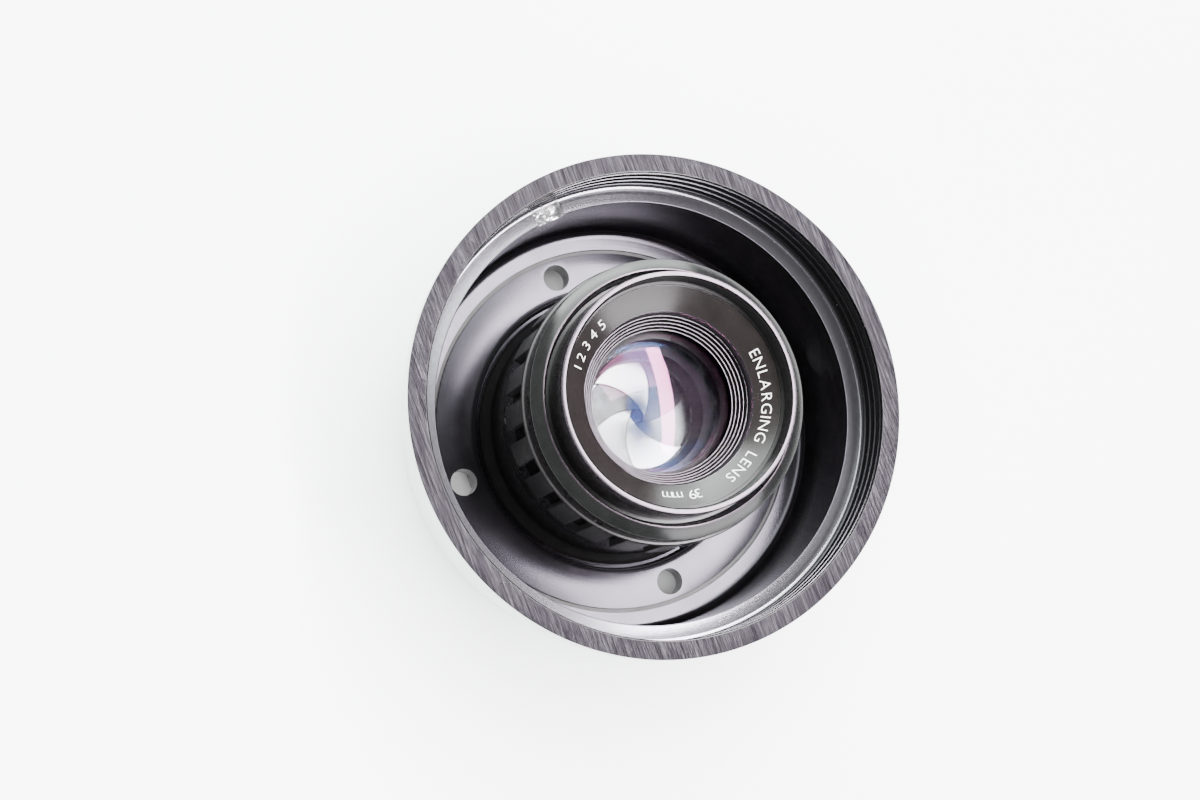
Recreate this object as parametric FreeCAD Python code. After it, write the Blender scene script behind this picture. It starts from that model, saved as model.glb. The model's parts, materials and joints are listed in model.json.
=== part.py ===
"""Enlarger lens screwed into its cup-shaped lens board, as separate named pieces.

Units are millimetres. The optical axis is Z and +Z points out of the front of the lens.
The origin is on the optical axis, in the plane of the skirt that the lens board stands on.
The four screw holes of the lens board lie on the X and Y axes.
The iris is modelled nearly closed: the aperture ring turns 60 degrees from there to open it.
"""

import os
from math import asin, atan2, cos, degrees, hypot, radians, sin, sqrt

import FreeCAD, Part

# ---------------------------------------------------------------- driving dimensions

# Lens board
RIM_Z = 34.0
RIM_R = 36.0
MOUTH_R = 33.26
LEDGE_Z = 26.0
LEDGE_LIP_RISE = 0.6
CUP_BORE_R = 30.73
PLATE_TOP_Z = 8.4
PLATE_THICKNESS = 3.6
SKIRT_INNER_R = 27.5
SKIRT_OUTER_R = 30.0
HUB_R = 22.2
BOARD_HOLE_PCD = 49.0
BOARD_HOLE_R = 2.0
RECESS_R = 20.9
SEAT_Z = 6.0
LENS_THREAD_R = 19.5
NOTCH_ANGLE = 186.0
NOTCH_WIDTH = 4.2

# Barrel and aperture ring
BARREL_REAR_Z = 1.6
FLANGE_R = 20.4
BASE_R = 19.0
SHOULDER_Z = 17.2
SLEEVE_R = 17.4
SLEEVE_TOP_Z = 37.0
FRONT_BORE_R = 16.4
PIVOT_SEAT_Z = 22.5
CHAMBER_R = 16.0
CHAMBER_FLOOR_Z = 18.2
REAR_BORE_R = 12.0
RUN = 0.06
RING_REAR_Z = SHOULDER_Z + 0.05
RING_FRONT_Z = 34.36
GRIP_R = 20.2
GRIP_REAR_Z = 24.0
SLOT_COUNT = 24
SLOT_WIDTH = 2.0
SLOT_FLOOR_R = 19.0
SLOT_LIP = 0.26
SLOT_PHASE = 6.8
FRONT_RING_R = 19.8
FRONT_RING_REAR_Z = 34.45

# Optical cells
CELL_TOP_Z = 43.9
CELL_OUTER_R = 16.9
FILTER_THREAD_R = 16.3
FILTER_THREAD_LENGTH = 3.2
LENS_BORE_R = 10.95
ELEMENT_R = 10.9
NAME_RING_R = 15.55
NAME_RING_TOP_Z = 40.6
NAME_RING_BORE_R = 12.2
NAME_RING_BORE_Z = 38.46
TERRACE_COUNT = 5
TERRACE_TOP_R = 11.8
TERRACE_TOP_Z = 37.0
GLASS_EDGE_R = 10.25
GLASS_EDGE_Z = 34.38
SECOND_SEAT_Z = 25.6
DOUBLET_BORE_R = 9.75
DOUBLET_R = 9.7
DOUBLET_SEAT_Z = 17.2

# Iris
BLADE_COUNT = 6
BLADE_PITCH = 360.0 / BLADE_COUNT
IRIS_PHASE = 26.0
RING_TURN = 60.0
BLADE_SWING = 30.0
PIVOT_R = 14.2
DRIVE_ARM = 2.6
PIN_R = 0.35
PIN_CLEARANCE = 0.06
BLADE_INNER_R = 8.25
BLADE_OUTER_R = 13.2
BLADE_ROOT_ANGLE = 10.0
BLADE_TIP_ANGLE = -145.0
BLADE_THICKNESS = 0.11
BLADE_LEVEL_STEP = 0.18
BLADE_BOTTOM_Z = 21.38
CAM_INNER_R = 12.6
CAM_TOP_Z = 21.3
CAM_GROOVE_DEPTH = 0.9
STOP_HOLE_R = 7.9
PIVOT_PLATE_THICKNESS = 0.8

# Small screws and the click stop
SCREW_R = 0.8
DRIVE_SCREW_ANGLE = 250.0
DRIVE_SCREW_Z = 19.3
GRUB_ANGLES = (70.0, 190.0, 310.0)
GRUB_Z = 35.7
F_NUMBERS = (4.5, 5.6, 8.0, 11.0, 16.0, 22.0)
DETENT_ANGLE = 330.0
DETENT_R = 18.2
BALL_R = 0.6
BALL_PROUD = 0.04
DIMPLE_R = 0.65
DIMPLE_DEPTH = 0.08
SPRING_WIRE_R = 0.09
SPRING_COIL_R = 0.4
SPRING_BOTTOM_Z = 13.1

UP = FreeCAD.Vector(0, 0, 1)
AXIS_POINT = FreeCAD.Vector(0, 0, 0)


# ---------------------------------------------------------------- shape helpers

def at(radius, angle, height=0.0):
    """Point from cylindrical coordinates, the angle in degrees."""
    return FreeCAD.Vector(radius * cos(radians(angle)), radius * sin(radians(angle)), height)


def on_profile(radius, height):
    """Point of a turning profile, drawn in the XZ plane."""
    return FreeCAD.Vector(radius, 0, height)


def turned_wire(edges):
    """Solid of revolution about Z from profile edges that close on themselves."""
    face = Part.Face(Part.Wire(edges))
    return face.revolve(AXIS_POINT, UP, 360)


def turned(profile):
    """Solid of revolution about Z from (radius, height) corners."""
    corners = [on_profile(*corner) for corner in profile]
    edges = [Part.makeLine(corners[i - 1], corners[i]) for i in range(len(corners))]
    return turned_wire(edges)


def cylinder(radius, foot, length, direction=UP):
    """Round bar that starts at foot."""
    return Part.makeCylinder(radius, length, foot, direction)


def washer(inner_r, outer_r, bottom_z, top_z):
    """Flat ring about Z."""
    return turned([(inner_r, bottom_z), (outer_r, bottom_z), (outer_r, top_z), (inner_r, top_z)])


def sector(inner_r, outer_r, bottom_z, top_z, start, sweep):
    """Part of a flat ring between two angles."""
    corners = [
        on_profile(inner_r, bottom_z),
        on_profile(outer_r, bottom_z),
        on_profile(outer_r, top_z),
        on_profile(inner_r, top_z),
    ]
    face = Part.Face(Part.makePolygon(corners + corners[:1]))
    return turn_about_axis(face.revolve(AXIS_POINT, UP, sweep), start)


def turn_about_axis(shape, angle):
    """Copy of a shape turned about the optical axis."""
    turned_copy = shape.copy()
    turned_copy.rotate(AXIS_POINT, UP, angle)
    return turned_copy


def rounded(shape, radius, height, size):
    """Fillet the circular edges that lie at one radius and height."""
    edges = [edge for edge in shape.Edges if lies_on_circle(edge, radius, height)]
    return shape.makeFillet(size, edges)


def lies_on_circle(edge, radius, height):
    """Whether every end of an edge is at one radius and height."""
    return all(
        abs(hypot(vertex.X, vertex.Y) - radius) < 1e-3 and abs(vertex.Z - height) < 1e-3
        for vertex in edge.Vertexes
    )


def capsule(start, end, radius, height):
    """Plate with round ends between two points, standing height above them."""
    along = end - start
    bar = Part.makeBox(along.Length, 2 * radius, height)
    bar.translate(FreeCAD.Vector(0, -radius, 0))
    bar.rotate(AXIS_POINT, UP, degrees(atan2(along.y, along.x)))
    bar.translate(start)
    return bar.fuse([cylinder(radius, start, height), cylinder(radius, end, height)])


def sagitta(sphere_r, radius):
    """Depth of a spherical surface at a distance from its vertex axis."""
    return sphere_r - sqrt(sphere_r ** 2 - radius ** 2)


def lens_arc(vertex_z, edge_r, edge_z):
    """Profile arc of a lens surface from its vertex out to its edge."""
    rise = edge_z - vertex_z
    sphere_r = (edge_r ** 2 + rise ** 2) / (2 * abs(rise))
    middle_r = edge_r / 2
    middle_z = vertex_z + sagitta(sphere_r, middle_r) * (1 if rise > 0 else -1)
    middle = on_profile(middle_r, middle_z)
    return Part.Arc(on_profile(0, vertex_z), middle, on_profile(edge_r, edge_z)).toShape()


def turned_lens(front_arc, back_arc, rim):
    """Lens between two surface arcs; rim lists the profile corners between their edges."""
    front_end = front_arc.Vertexes[-1].Point
    back_end = back_arc.Vertexes[-1].Point
    corners = [front_end] + [on_profile(*corner) for corner in rim] + [back_end]
    edges = [Part.makeLine(corners[i], corners[i + 1]) for i in range(len(corners) - 1)]
    axis_edge = Part.makeLine(back_arc.Vertexes[0].Point, front_arc.Vertexes[0].Point)
    return turned_wire([front_arc] + edges + [back_arc, axis_edge])


# ---------------------------------------------------------------- lens board

def lens_cup():
    """Turned aluminium cup: the lens screws into its floor, four screws hold it up."""
    plate_bottom = PLATE_TOP_Z - PLATE_THICKNESS
    groove_outer, groove_inner, groove_depth = 27.7, 27.1, 0.5
    edge_round = 1.4
    profile = [
        (LENS_THREAD_R, BARREL_REAR_Z),
        (HUB_R, BARREL_REAR_Z),
        (HUB_R, plate_bottom),
        (SKIRT_INNER_R, plate_bottom),
        (SKIRT_INNER_R, 0.0),
        (SKIRT_OUTER_R, 0.0),
        (SKIRT_OUTER_R, plate_bottom),
        (32.4, PLATE_TOP_Z),
        (34.4, 20.0),
        (RIM_R, 31.0),
        (RIM_R, RIM_Z),
        (MOUTH_R, RIM_Z),
        (MOUTH_R, LEDGE_Z),
        (CUP_BORE_R, LEDGE_Z + LEDGE_LIP_RISE),
        (CUP_BORE_R, PLATE_TOP_Z),
        (groove_outer, PLATE_TOP_Z),
        (groove_outer, PLATE_TOP_Z - groove_depth),
        (groove_inner, PLATE_TOP_Z - groove_depth),
        (groove_inner, PLATE_TOP_Z),
        (RECESS_R, PLATE_TOP_Z),
        (RECESS_R, SEAT_Z),
        (LENS_THREAD_R, SEAT_Z),
    ]
    cup = turned(profile)
    cup = rounded(cup, CUP_BORE_R, PLATE_TOP_Z, 2.8)
    cup = rounded(cup, RECESS_R, PLATE_TOP_Z, edge_round)
    cup = rounded(cup, MOUTH_R, LEDGE_Z, 0.7)
    cup = rounded(cup, SKIRT_OUTER_R, 0.0, 0.5)
    holes = [
        cylinder(BOARD_HOLE_R, at(BOARD_HOLE_PCD / 2, angle, 0), PLATE_TOP_Z + 1)
        for angle in (0, 90, 180, 270)
    ]
    return cup.cut(holes + [lip_notch()])


def lip_notch():
    """Filed gap through the lip of the ledge inside the mouth."""
    notch = Part.makeBox(3.0, NOTCH_WIDTH, 5.0)
    notch.translate(FreeCAD.Vector(CUP_BORE_R - 0.9, -NOTCH_WIDTH / 2, LEDGE_Z - 1.1))
    return turn_about_axis(notch, NOTCH_ANGLE)


# ---------------------------------------------------------------- barrel

def main_barrel():
    """Fixed body: lens thread, seating flange, base, and the sleeve the ring turns on."""
    thread_r = LENS_THREAD_R - 0.05
    counterbore_r, counterbore_z = 14.1, 2.7
    profile = [
        (counterbore_r, BARREL_REAR_Z),
        (thread_r, BARREL_REAR_Z),
        (thread_r, SEAT_Z),
        (FLANGE_R, SEAT_Z),
        (FLANGE_R, SEAT_Z + 1.6),
        (BASE_R, SEAT_Z + 3.4),
        (BASE_R, SHOULDER_Z),
        (SLEEVE_R, SHOULDER_Z),
        (SLEEVE_R, SLEEVE_TOP_Z),
        (FRONT_BORE_R, SLEEVE_TOP_Z),
        (FRONT_BORE_R, PIVOT_SEAT_Z),
        (CHAMBER_R, PIVOT_SEAT_Z),
        (CHAMBER_R, CHAMBER_FLOOR_Z),
        (REAR_BORE_R, CHAMBER_FLOOR_Z),
        (REAR_BORE_R, counterbore_z),
        (counterbore_r, counterbore_z),
    ]
    ball_hole = cylinder(BALL_R + 0.03, at(DETENT_R, DETENT_ANGLE, SPRING_BOTTOM_Z - 0.1), 6.0)
    return turned(profile).cut([drive_slot(), ball_hole])


def drive_slot():
    """Slot through the sleeve that the drive screw travels in."""
    half_height = SCREW_R + 0.1
    margin = degrees(asin((SCREW_R + 0.25) / CHAMBER_R))
    return sector(
        CHAMBER_R - 0.5,
        SLEEVE_R + 0.5,
        DRIVE_SCREW_Z - half_height,
        DRIVE_SCREW_Z + half_height,
        DRIVE_SCREW_ANGLE - margin,
        RING_TURN + 2 * margin,
    )


def front_barrel_ring():
    """Ring screwed on the front of the sleeve; it keeps the aperture ring on."""
    bore_r = SLEEVE_R + 0.05
    profile = [
        (bore_r, FRONT_RING_REAR_Z),
        (FRONT_RING_R, FRONT_RING_REAR_Z),
        (FRONT_RING_R, 38.0),
        (18.2, 39.2),
        (17.95, 39.1),
        (17.6, 37.4),
        (bore_r, SLEEVE_TOP_Z),
    ]
    holes = [radial_pin(SCREW_R + 0.02, SLEEVE_R, 4.0, angle, GRUB_Z) for angle in GRUB_ANGLES]
    return turned(profile).cut(holes)


def radial_pin(radius, inner_r, length, angle, height):
    """Round bar that points outwards from the optical axis."""
    return cylinder(radius, at(inner_r, angle, height), length, at(1.0, angle))


def grub_screws():
    """Three slotted grub screws that lock the front barrel ring on the sleeve."""
    length = 2.1
    screws = []
    for angle in GRUB_ANGLES:
        body = radial_pin(SCREW_R, SLEEVE_R + 0.01, length, angle, GRUB_Z)
        screws.append(body.cut(driver_slot(SLEEVE_R + length - 0.35, 2 * SCREW_R, angle, GRUB_Z)))
    return Part.makeCompound(screws)


def driver_slot(floor_r, width, angle, height):
    """Screwdriver slot cut into the outer end of a radial screw."""
    slot = Part.makeBox(2.0, 0.3, width + 0.4)
    slot.translate(FreeCAD.Vector(floor_r, -0.15, height - width / 2 - 0.2))
    return turn_about_axis(slot, angle)


# ---------------------------------------------------------------- aperture ring and click stop

def aperture_ring():
    """Ring with a slotted grip in front and a plain band for the numbers behind."""
    bore_r = SLEEVE_R + RUN
    profile = [
        (bore_r, RING_REAR_Z),
        (BASE_R, RING_REAR_Z),
        (BASE_R, GRIP_REAR_Z - 0.4),
        (GRIP_R - 0.5, GRIP_REAR_Z),
        (GRIP_R, GRIP_REAR_Z + 0.5),
        (GRIP_R, RING_FRONT_Z - 0.2),
        (GRIP_R - 0.2, RING_FRONT_Z),
        (bore_r, RING_FRONT_Z),
    ]
    slots = [grip_slot(SLOT_PHASE + i * 360.0 / SLOT_COUNT) for i in range(SLOT_COUNT)]
    dimples = [detent_dimple(stop) for stop in F_NUMBERS]
    screw_way = radial_pin(SCREW_R + 0.04, SLEEVE_R - 1, 4.0, DRIVE_SCREW_ANGLE, DRIVE_SCREW_Z)
    head_way = radial_pin(1.4, 18.1, 2.0, DRIVE_SCREW_ANGLE, DRIVE_SCREW_Z)
    return turned(profile).cut(slots + dimples + [screw_way, head_way])


def grip_slot(angle):
    """Straight slot along the grip, open at the rear end."""
    bottom_z = GRIP_REAR_Z - 1.0
    slot = Part.makeBox(3.0, SLOT_WIDTH, RING_FRONT_Z - SLOT_LIP - bottom_z)
    slot.translate(FreeCAD.Vector(SLOT_FLOOR_R, -SLOT_WIDTH / 2, bottom_z))
    return turn_about_axis(slot, angle)


def ring_angle(f_number):
    """Turn of the aperture ring from closed at which the iris gives an f-number."""
    hole_r = STOP_HOLE_R * F_NUMBERS[0] / f_number
    closing = 2 * degrees(asin((BLADE_INNER_R - hole_r) / (2 * PIVOT_R)))
    return RING_TURN * (1 - closing / BLADE_SWING)


def detent_dimple(f_number):
    """Shallow hollow in the ring's rear face where the ball clicks."""
    centre_z = RING_REAR_Z + DIMPLE_DEPTH - DIMPLE_R
    return Part.makeSphere(DIMPLE_R, at(DETENT_R, DETENT_ANGLE - ring_angle(f_number), centre_z))


def detent_ball():
    """Steel ball of the click stop, pressed in by the ring's rear face."""
    return Part.makeSphere(BALL_R, at(DETENT_R, DETENT_ANGLE, SHOULDER_Z + BALL_PROUD - BALL_R))


def detent_spring():
    """Coil spring that pushes the ball forwards."""
    top_z = SHOULDER_Z + BALL_PROUD - 2 * BALL_R
    height = top_z - SPRING_BOTTOM_Z - 2 * SPRING_WIRE_R - 0.02
    helix = Part.makeHelix(0.55, height, SPRING_COIL_R)
    start = FreeCAD.Vector(SPRING_COIL_R, 0, 0)
    profile = Part.Wire(Part.makeCircle(SPRING_WIRE_R, start, FreeCAD.Vector(0, 1, 0)))
    spring = Part.Wire(helix).makePipeShell([profile], True, True)
    spring.translate(at(DETENT_R, DETENT_ANGLE, SPRING_BOTTOM_Z + SPRING_WIRE_R))
    return spring


def drive_screw():
    """Slotted screw that ties the aperture ring to the cam ring through the sleeve."""
    head_inner_r, head_length, head_r = 18.12, 0.75, 1.3
    shank_inner_r = CAM_INNER_R + 0.4
    shank = radial_pin(
        SCREW_R, shank_inner_r, head_inner_r - shank_inner_r, DRIVE_SCREW_ANGLE, DRIVE_SCREW_Z
    )
    head = radial_pin(head_r, head_inner_r, head_length, DRIVE_SCREW_ANGLE, DRIVE_SCREW_Z)
    slot = driver_slot(head_inner_r + head_length - 0.3, 2 * head_r, DRIVE_SCREW_ANGLE, DRIVE_SCREW_Z)
    return shank.fuse(head).cut(slot)


# ---------------------------------------------------------------- iris

def pivot_point(height=0.0):
    """Pivot of the first blade, before the iris phase is applied."""
    return FreeCAD.Vector(PIVOT_R, 0, height)


def drive_pin_point(opening):
    """Drive pin of the first blade when it has swung open by an angle."""
    direction = 90.0 - BLADE_SWING / 2 + opening
    return pivot_point() + at(DRIVE_ARM, direction)


def blade_plan():
    """Crescent of a blade with round ends, in the fully open position, as a flat face."""
    middle_r = (BLADE_INNER_R + BLADE_OUTER_R) / 2
    end_bulge = degrees((BLADE_OUTER_R - BLADE_INNER_R) / 2 / middle_r)
    middle_angle = (BLADE_ROOT_ANGLE + BLADE_TIP_ANGLE) / 2
    inner = Part.Arc(
        at(BLADE_INNER_R, BLADE_ROOT_ANGLE),
        at(BLADE_INNER_R, middle_angle),
        at(BLADE_INNER_R, BLADE_TIP_ANGLE),
    )
    tip = Part.Arc(
        at(BLADE_INNER_R, BLADE_TIP_ANGLE),
        at(middle_r, BLADE_TIP_ANGLE - end_bulge),
        at(BLADE_OUTER_R, BLADE_TIP_ANGLE),
    )
    outer = Part.Arc(
        at(BLADE_OUTER_R, BLADE_TIP_ANGLE),
        at(BLADE_OUTER_R, middle_angle),
        at(BLADE_OUTER_R, BLADE_ROOT_ANGLE),
    )
    root = Part.Arc(
        at(BLADE_OUTER_R, BLADE_ROOT_ANGLE),
        at(middle_r, BLADE_ROOT_ANGLE + end_bulge),
        at(BLADE_INNER_R, BLADE_ROOT_ANGLE),
    )
    return Part.Face(Part.Wire([arc.toShape() for arc in (inner, tip, outer, root)]))


def iris_blade(index):
    """One blade with its pivot pin in front and its drive pin behind, nearly closed."""
    bottom_z = BLADE_BOTTOM_Z + index * BLADE_LEVEL_STEP
    top_z = bottom_z + BLADE_THICKNESS
    lift = FreeCAD.Vector(0, 0, bottom_z)
    crescent = blade_plan().extrude(UP * BLADE_THICKNESS)
    crescent.translate(lift)
    pivot = pivot_point(bottom_z)
    drive = drive_pin_point(BLADE_SWING) + lift
    ear = capsule(pivot, FreeCAD.Vector(12.5, 0, bottom_z), 1.0, BLADE_THICKNESS)
    tail = capsule(pivot, drive, PIN_R + 0.3, BLADE_THICKNESS)
    pivot_pin = cylinder(PIN_R, FreeCAD.Vector(PIVOT_R, 0, top_z), pivot_plate_top() - 0.1 - top_z)
    groove_floor_z = CAM_TOP_Z - CAM_GROOVE_DEPTH
    pin_foot = FreeCAD.Vector(drive.x, drive.y, groove_floor_z + 0.1)
    drive_pin = cylinder(PIN_R, pin_foot, bottom_z - pin_foot.z)
    blade = crescent.fuse([ear, tail, pivot_pin, drive_pin]).removeSplitter()
    blade.rotate(pivot, UP, -BLADE_SWING)
    return turn_about_axis(blade, IRIS_PHASE + index * BLADE_PITCH)


def pivot_plate_top():
    """Height of the front face of the pivot plate."""
    return PIVOT_SEAT_Z + PIVOT_PLATE_THICKNESS


def iris_pivot_plate():
    """Fixed plate in front of the blades with a pivot hole for each."""
    plate = washer(STOP_HOLE_R, FRONT_BORE_R - 0.03, PIVOT_SEAT_Z, pivot_plate_top())
    holes = []
    for index in range(BLADE_COUNT):
        foot = at(PIVOT_R, IRIS_PHASE + index * BLADE_PITCH, PIVOT_SEAT_Z - 1)
        holes.append(cylinder(PIN_R + PIN_CLEARANCE, foot, PIVOT_PLATE_THICKNESS + 2))
    return plate.cut(holes)


def cam_path_point(ring_turn):
    """Where the first blade's drive pin is, seen from the cam ring at a turn of the ring."""
    pin = drive_pin_point(ring_turn * BLADE_SWING / RING_TURN)
    return at(hypot(pin.x, pin.y), degrees(atan2(pin.y, pin.x)) - ring_turn)


def cam_groove():
    """Spiral groove that swings a blade half as far as the cam ring turns."""
    overrun, steps = 1.0, 24
    half_width = PIN_R + PIN_CLEARANCE
    span = RING_TURN + 2 * overrun
    turns = [-overrun + span * i / steps for i in range(steps + 1)]
    left, right = [], []
    for turn in turns:
        point = cam_path_point(turn)
        ahead = cam_path_point(turn + 0.01) - cam_path_point(turn - 0.01)
        side = FreeCAD.Vector(-ahead.y, ahead.x, 0).normalize() * half_width
        left.append(point + side)
        right.append(point - side)
    walls = [smooth_edge(left), smooth_edge(right)]
    ends = [groove_end(left[0], right[0], turns[0], -1), groove_end(left[-1], right[-1], turns[-1], 1)]
    groove = Part.Face(Part.Wire(Part.__sortEdges__(walls + ends))).extrude(UP * 2)
    groove.translate(FreeCAD.Vector(0, 0, CAM_TOP_Z - CAM_GROOVE_DEPTH))
    return groove


def smooth_edge(points):
    """Smooth curve through points."""
    curve = Part.BSplineCurve()
    curve.interpolate(points)
    return curve.toShape()


def groove_end(left, right, ring_turn, outward):
    """Half round that closes one end of the cam groove."""
    ahead = cam_path_point(ring_turn + 0.01) - cam_path_point(ring_turn - 0.01)
    middle = (left + right) * 0.5
    tip = middle + ahead.normalize() * outward * (PIN_R + PIN_CLEARANCE)
    return Part.Arc(left, tip, right).toShape()


def iris_cam_ring():
    """Ring under the blades that the aperture ring turns."""
    ring = washer(CAM_INNER_R, CHAMBER_R - RUN, CHAMBER_FLOOR_Z + RUN, CAM_TOP_Z)
    groove = cam_groove()
    grooves = [
        turn_about_axis(groove, IRIS_PHASE + index * BLADE_PITCH) for index in range(BLADE_COUNT)
    ]
    screw_hole = radial_pin(SCREW_R + 0.02, CAM_INNER_R - 1, 6.0, DRIVE_SCREW_ANGLE, DRIVE_SCREW_Z)
    return ring.cut(grooves + [screw_hole])


# ---------------------------------------------------------------- front optical cell

def front_cell():
    """Cell that drops into the sleeve: lens bore, name ring thread and filter thread."""
    body_r = FRONT_BORE_R - 0.05
    bezel_floor_z = CELL_TOP_Z - FILTER_THREAD_LENGTH
    profile = [
        (STOP_HOLE_R + 0.2, pivot_plate_top()),
        (body_r, pivot_plate_top()),
        (body_r, SLEEVE_TOP_Z + 0.05),
        (CELL_OUTER_R, SLEEVE_TOP_Z + 0.05),
        (CELL_OUTER_R, CELL_TOP_Z - 0.5),
        (CELL_OUTER_R - 0.15, CELL_TOP_Z),
        (FILTER_THREAD_R, CELL_TOP_Z),
        (FILTER_THREAD_R, bezel_floor_z),
        (NAME_RING_R + 0.05, bezel_floor_z),
        (NAME_RING_R + 0.05, 35.0),
        (LENS_BORE_R, 35.0),
        (LENS_BORE_R, SECOND_SEAT_Z),
        (8.9, SECOND_SEAT_Z),
    ]
    return turned(profile)


def name_ring():
    """Screwed ring with a coned face for lettering and a terraced funnel to the glass."""
    bottom_z = 35.05
    profile = [
        (ELEMENT_R, bottom_z),
        (NAME_RING_R, bottom_z),
        (NAME_RING_R, NAME_RING_TOP_Z),
        (NAME_RING_BORE_R, NAME_RING_BORE_Z),
        (NAME_RING_BORE_R - 0.05, TERRACE_TOP_Z),
    ]
    tread = (TERRACE_TOP_R - GLASS_EDGE_R) / (TERRACE_COUNT - 1)
    riser = (TERRACE_TOP_Z - GLASS_EDGE_Z) / TERRACE_COUNT
    for step in range(TERRACE_COUNT):
        edge_r = TERRACE_TOP_R - step * tread
        tread_z = TERRACE_TOP_Z - step * riser
        profile.append((edge_r, tread_z))
        profile.append((edge_r, tread_z - riser))
    profile.append((ELEMENT_R, GLASS_EDGE_Z))
    return turned(profile)


def front_element():
    """Front positive element, convex towards the front."""
    back_z, sphere_r = 31.6, 26.0
    vertex_z = GLASS_EDGE_Z - 0.02 + sagitta(sphere_r, GLASS_EDGE_R)
    edge_z = vertex_z - sagitta(sphere_r, ELEMENT_R)
    front = lens_arc(vertex_z, ELEMENT_R, edge_z)
    back = Part.makeLine(on_profile(0, back_z), on_profile(ELEMENT_R, back_z))
    return turned_lens(front, back, [])


def element_spacer():
    """Plain ring between the front and second elements."""
    return washer(9.6, ELEMENT_R, 29.2, 31.6)


def second_element():
    """Negative element, hollow on both faces."""
    front_z, front_edge_r, back_edge_r = 29.2, 9.6, 8.9
    front = lens_arc(front_z - sagitta(60.0, front_edge_r), front_edge_r, front_z)
    back = lens_arc(SECOND_SEAT_Z + sagitta(26.0, back_edge_r), back_edge_r, SECOND_SEAT_Z)
    return turned_lens(front, back, [(ELEMENT_R, front_z), (ELEMENT_R, SECOND_SEAT_Z)])


# ---------------------------------------------------------------- rear optical cell

def rear_cell():
    """Cell screwed in from behind; it carries the cemented pair."""
    profile = [
        (8.8, 17.9),
        (REAR_BORE_R - 0.05, 17.9),
        (REAR_BORE_R - 0.05, 2.7),
        (14.0, 2.7),
        (14.0, 1.2),
        (11.0, 1.2),
        (10.3, 8.6),
        (DOUBLET_BORE_R, 8.6),
        (DOUBLET_BORE_R, DOUBLET_SEAT_Z),
        (8.8, DOUBLET_SEAT_Z),
    ]
    return turned(profile)


def cement_arc():
    """Profile of the cemented surface inside the rear pair."""
    edge_z = 14.0
    return lens_arc(edge_z + sagitta(30.0, DOUBLET_R), DOUBLET_R, edge_z)


def doublet_front_element():
    """Negative half of the cemented pair."""
    front_edge_r = 8.8
    vertex_z = DOUBLET_SEAT_Z - sagitta(80.0, front_edge_r)
    front = lens_arc(vertex_z, front_edge_r, DOUBLET_SEAT_Z)
    return turned_lens(front, cement_arc(), [(DOUBLET_R, DOUBLET_SEAT_Z)])


def doublet_rear_element():
    """Positive half of the cemented pair, convex to the rear."""
    edge_z = 12.6
    back = lens_arc(edge_z - sagitta(24.0, DOUBLET_R), DOUBLET_R, edge_z)
    return turned_lens(cement_arc(), back, [])


def rear_retaining_ring():
    """Threaded ring with two wrench slots that holds the rear pair."""
    bottom_z = 9.6
    ring = washer(8.7, DOUBLET_R, bottom_z, 12.15)
    slot = Part.makeBox(3 * DOUBLET_R, 1.2, 1.0)
    slot.translate(FreeCAD.Vector(-1.5 * DOUBLET_R, -0.6, bottom_z - 0.3))
    return ring.cut(slot)


# ---------------------------------------------------------------- export

def all_parts():
    """Every piece of the lens by node name."""
    parts = {
        "lens_cup": lens_cup(),
        "main_barrel": main_barrel(),
        "front_barrel_ring": front_barrel_ring(),
        "grub_screws": grub_screws(),
        "front_cell": front_cell(),
        "name_ring": name_ring(),
        "front_element": front_element(),
        "element_spacer": element_spacer(),
        "second_element": second_element(),
        "rear_cell": rear_cell(),
        "doublet_front_element": doublet_front_element(),
        "doublet_rear_element": doublet_rear_element(),
        "rear_retaining_ring": rear_retaining_ring(),
        "iris_pivot_plate": iris_pivot_plate(),
        "iris_cam_ring": iris_cam_ring(),
        "aperture_ring": aperture_ring(),
        "drive_screw": drive_screw(),
        "detent_ball": detent_ball(),
        "detent_spring": detent_spring(),
    }
    for index in range(BLADE_COUNT):
        parts[f"iris_blade_{index + 1}"] = iris_blade(index)
    return parts


os.makedirs("parts", exist_ok=True)
for name, shape in all_parts().items():
    shape.exportStep(os.path.join("parts", name + ".step"))
    print(name, "valid" if shape.isValid() else "NOT VALID", len(shape.Solids), round(shape.Volume, 2))
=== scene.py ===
"""Looks for the enlarger lens: visible surfaces, materials, floor, light and camera.

Profiles are drawn in millimetres in the row frame: the optical axis is Z, the lens faces +Z.
Heights and radii start from the boxes of the CAD nodes; smaller steps are named beside them.
"""

import json
from math import asin, atan2, cos, degrees, pi, radians, sin, sqrt

import bmesh
import bpy
from mathutils import Matrix, Vector, noise


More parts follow.
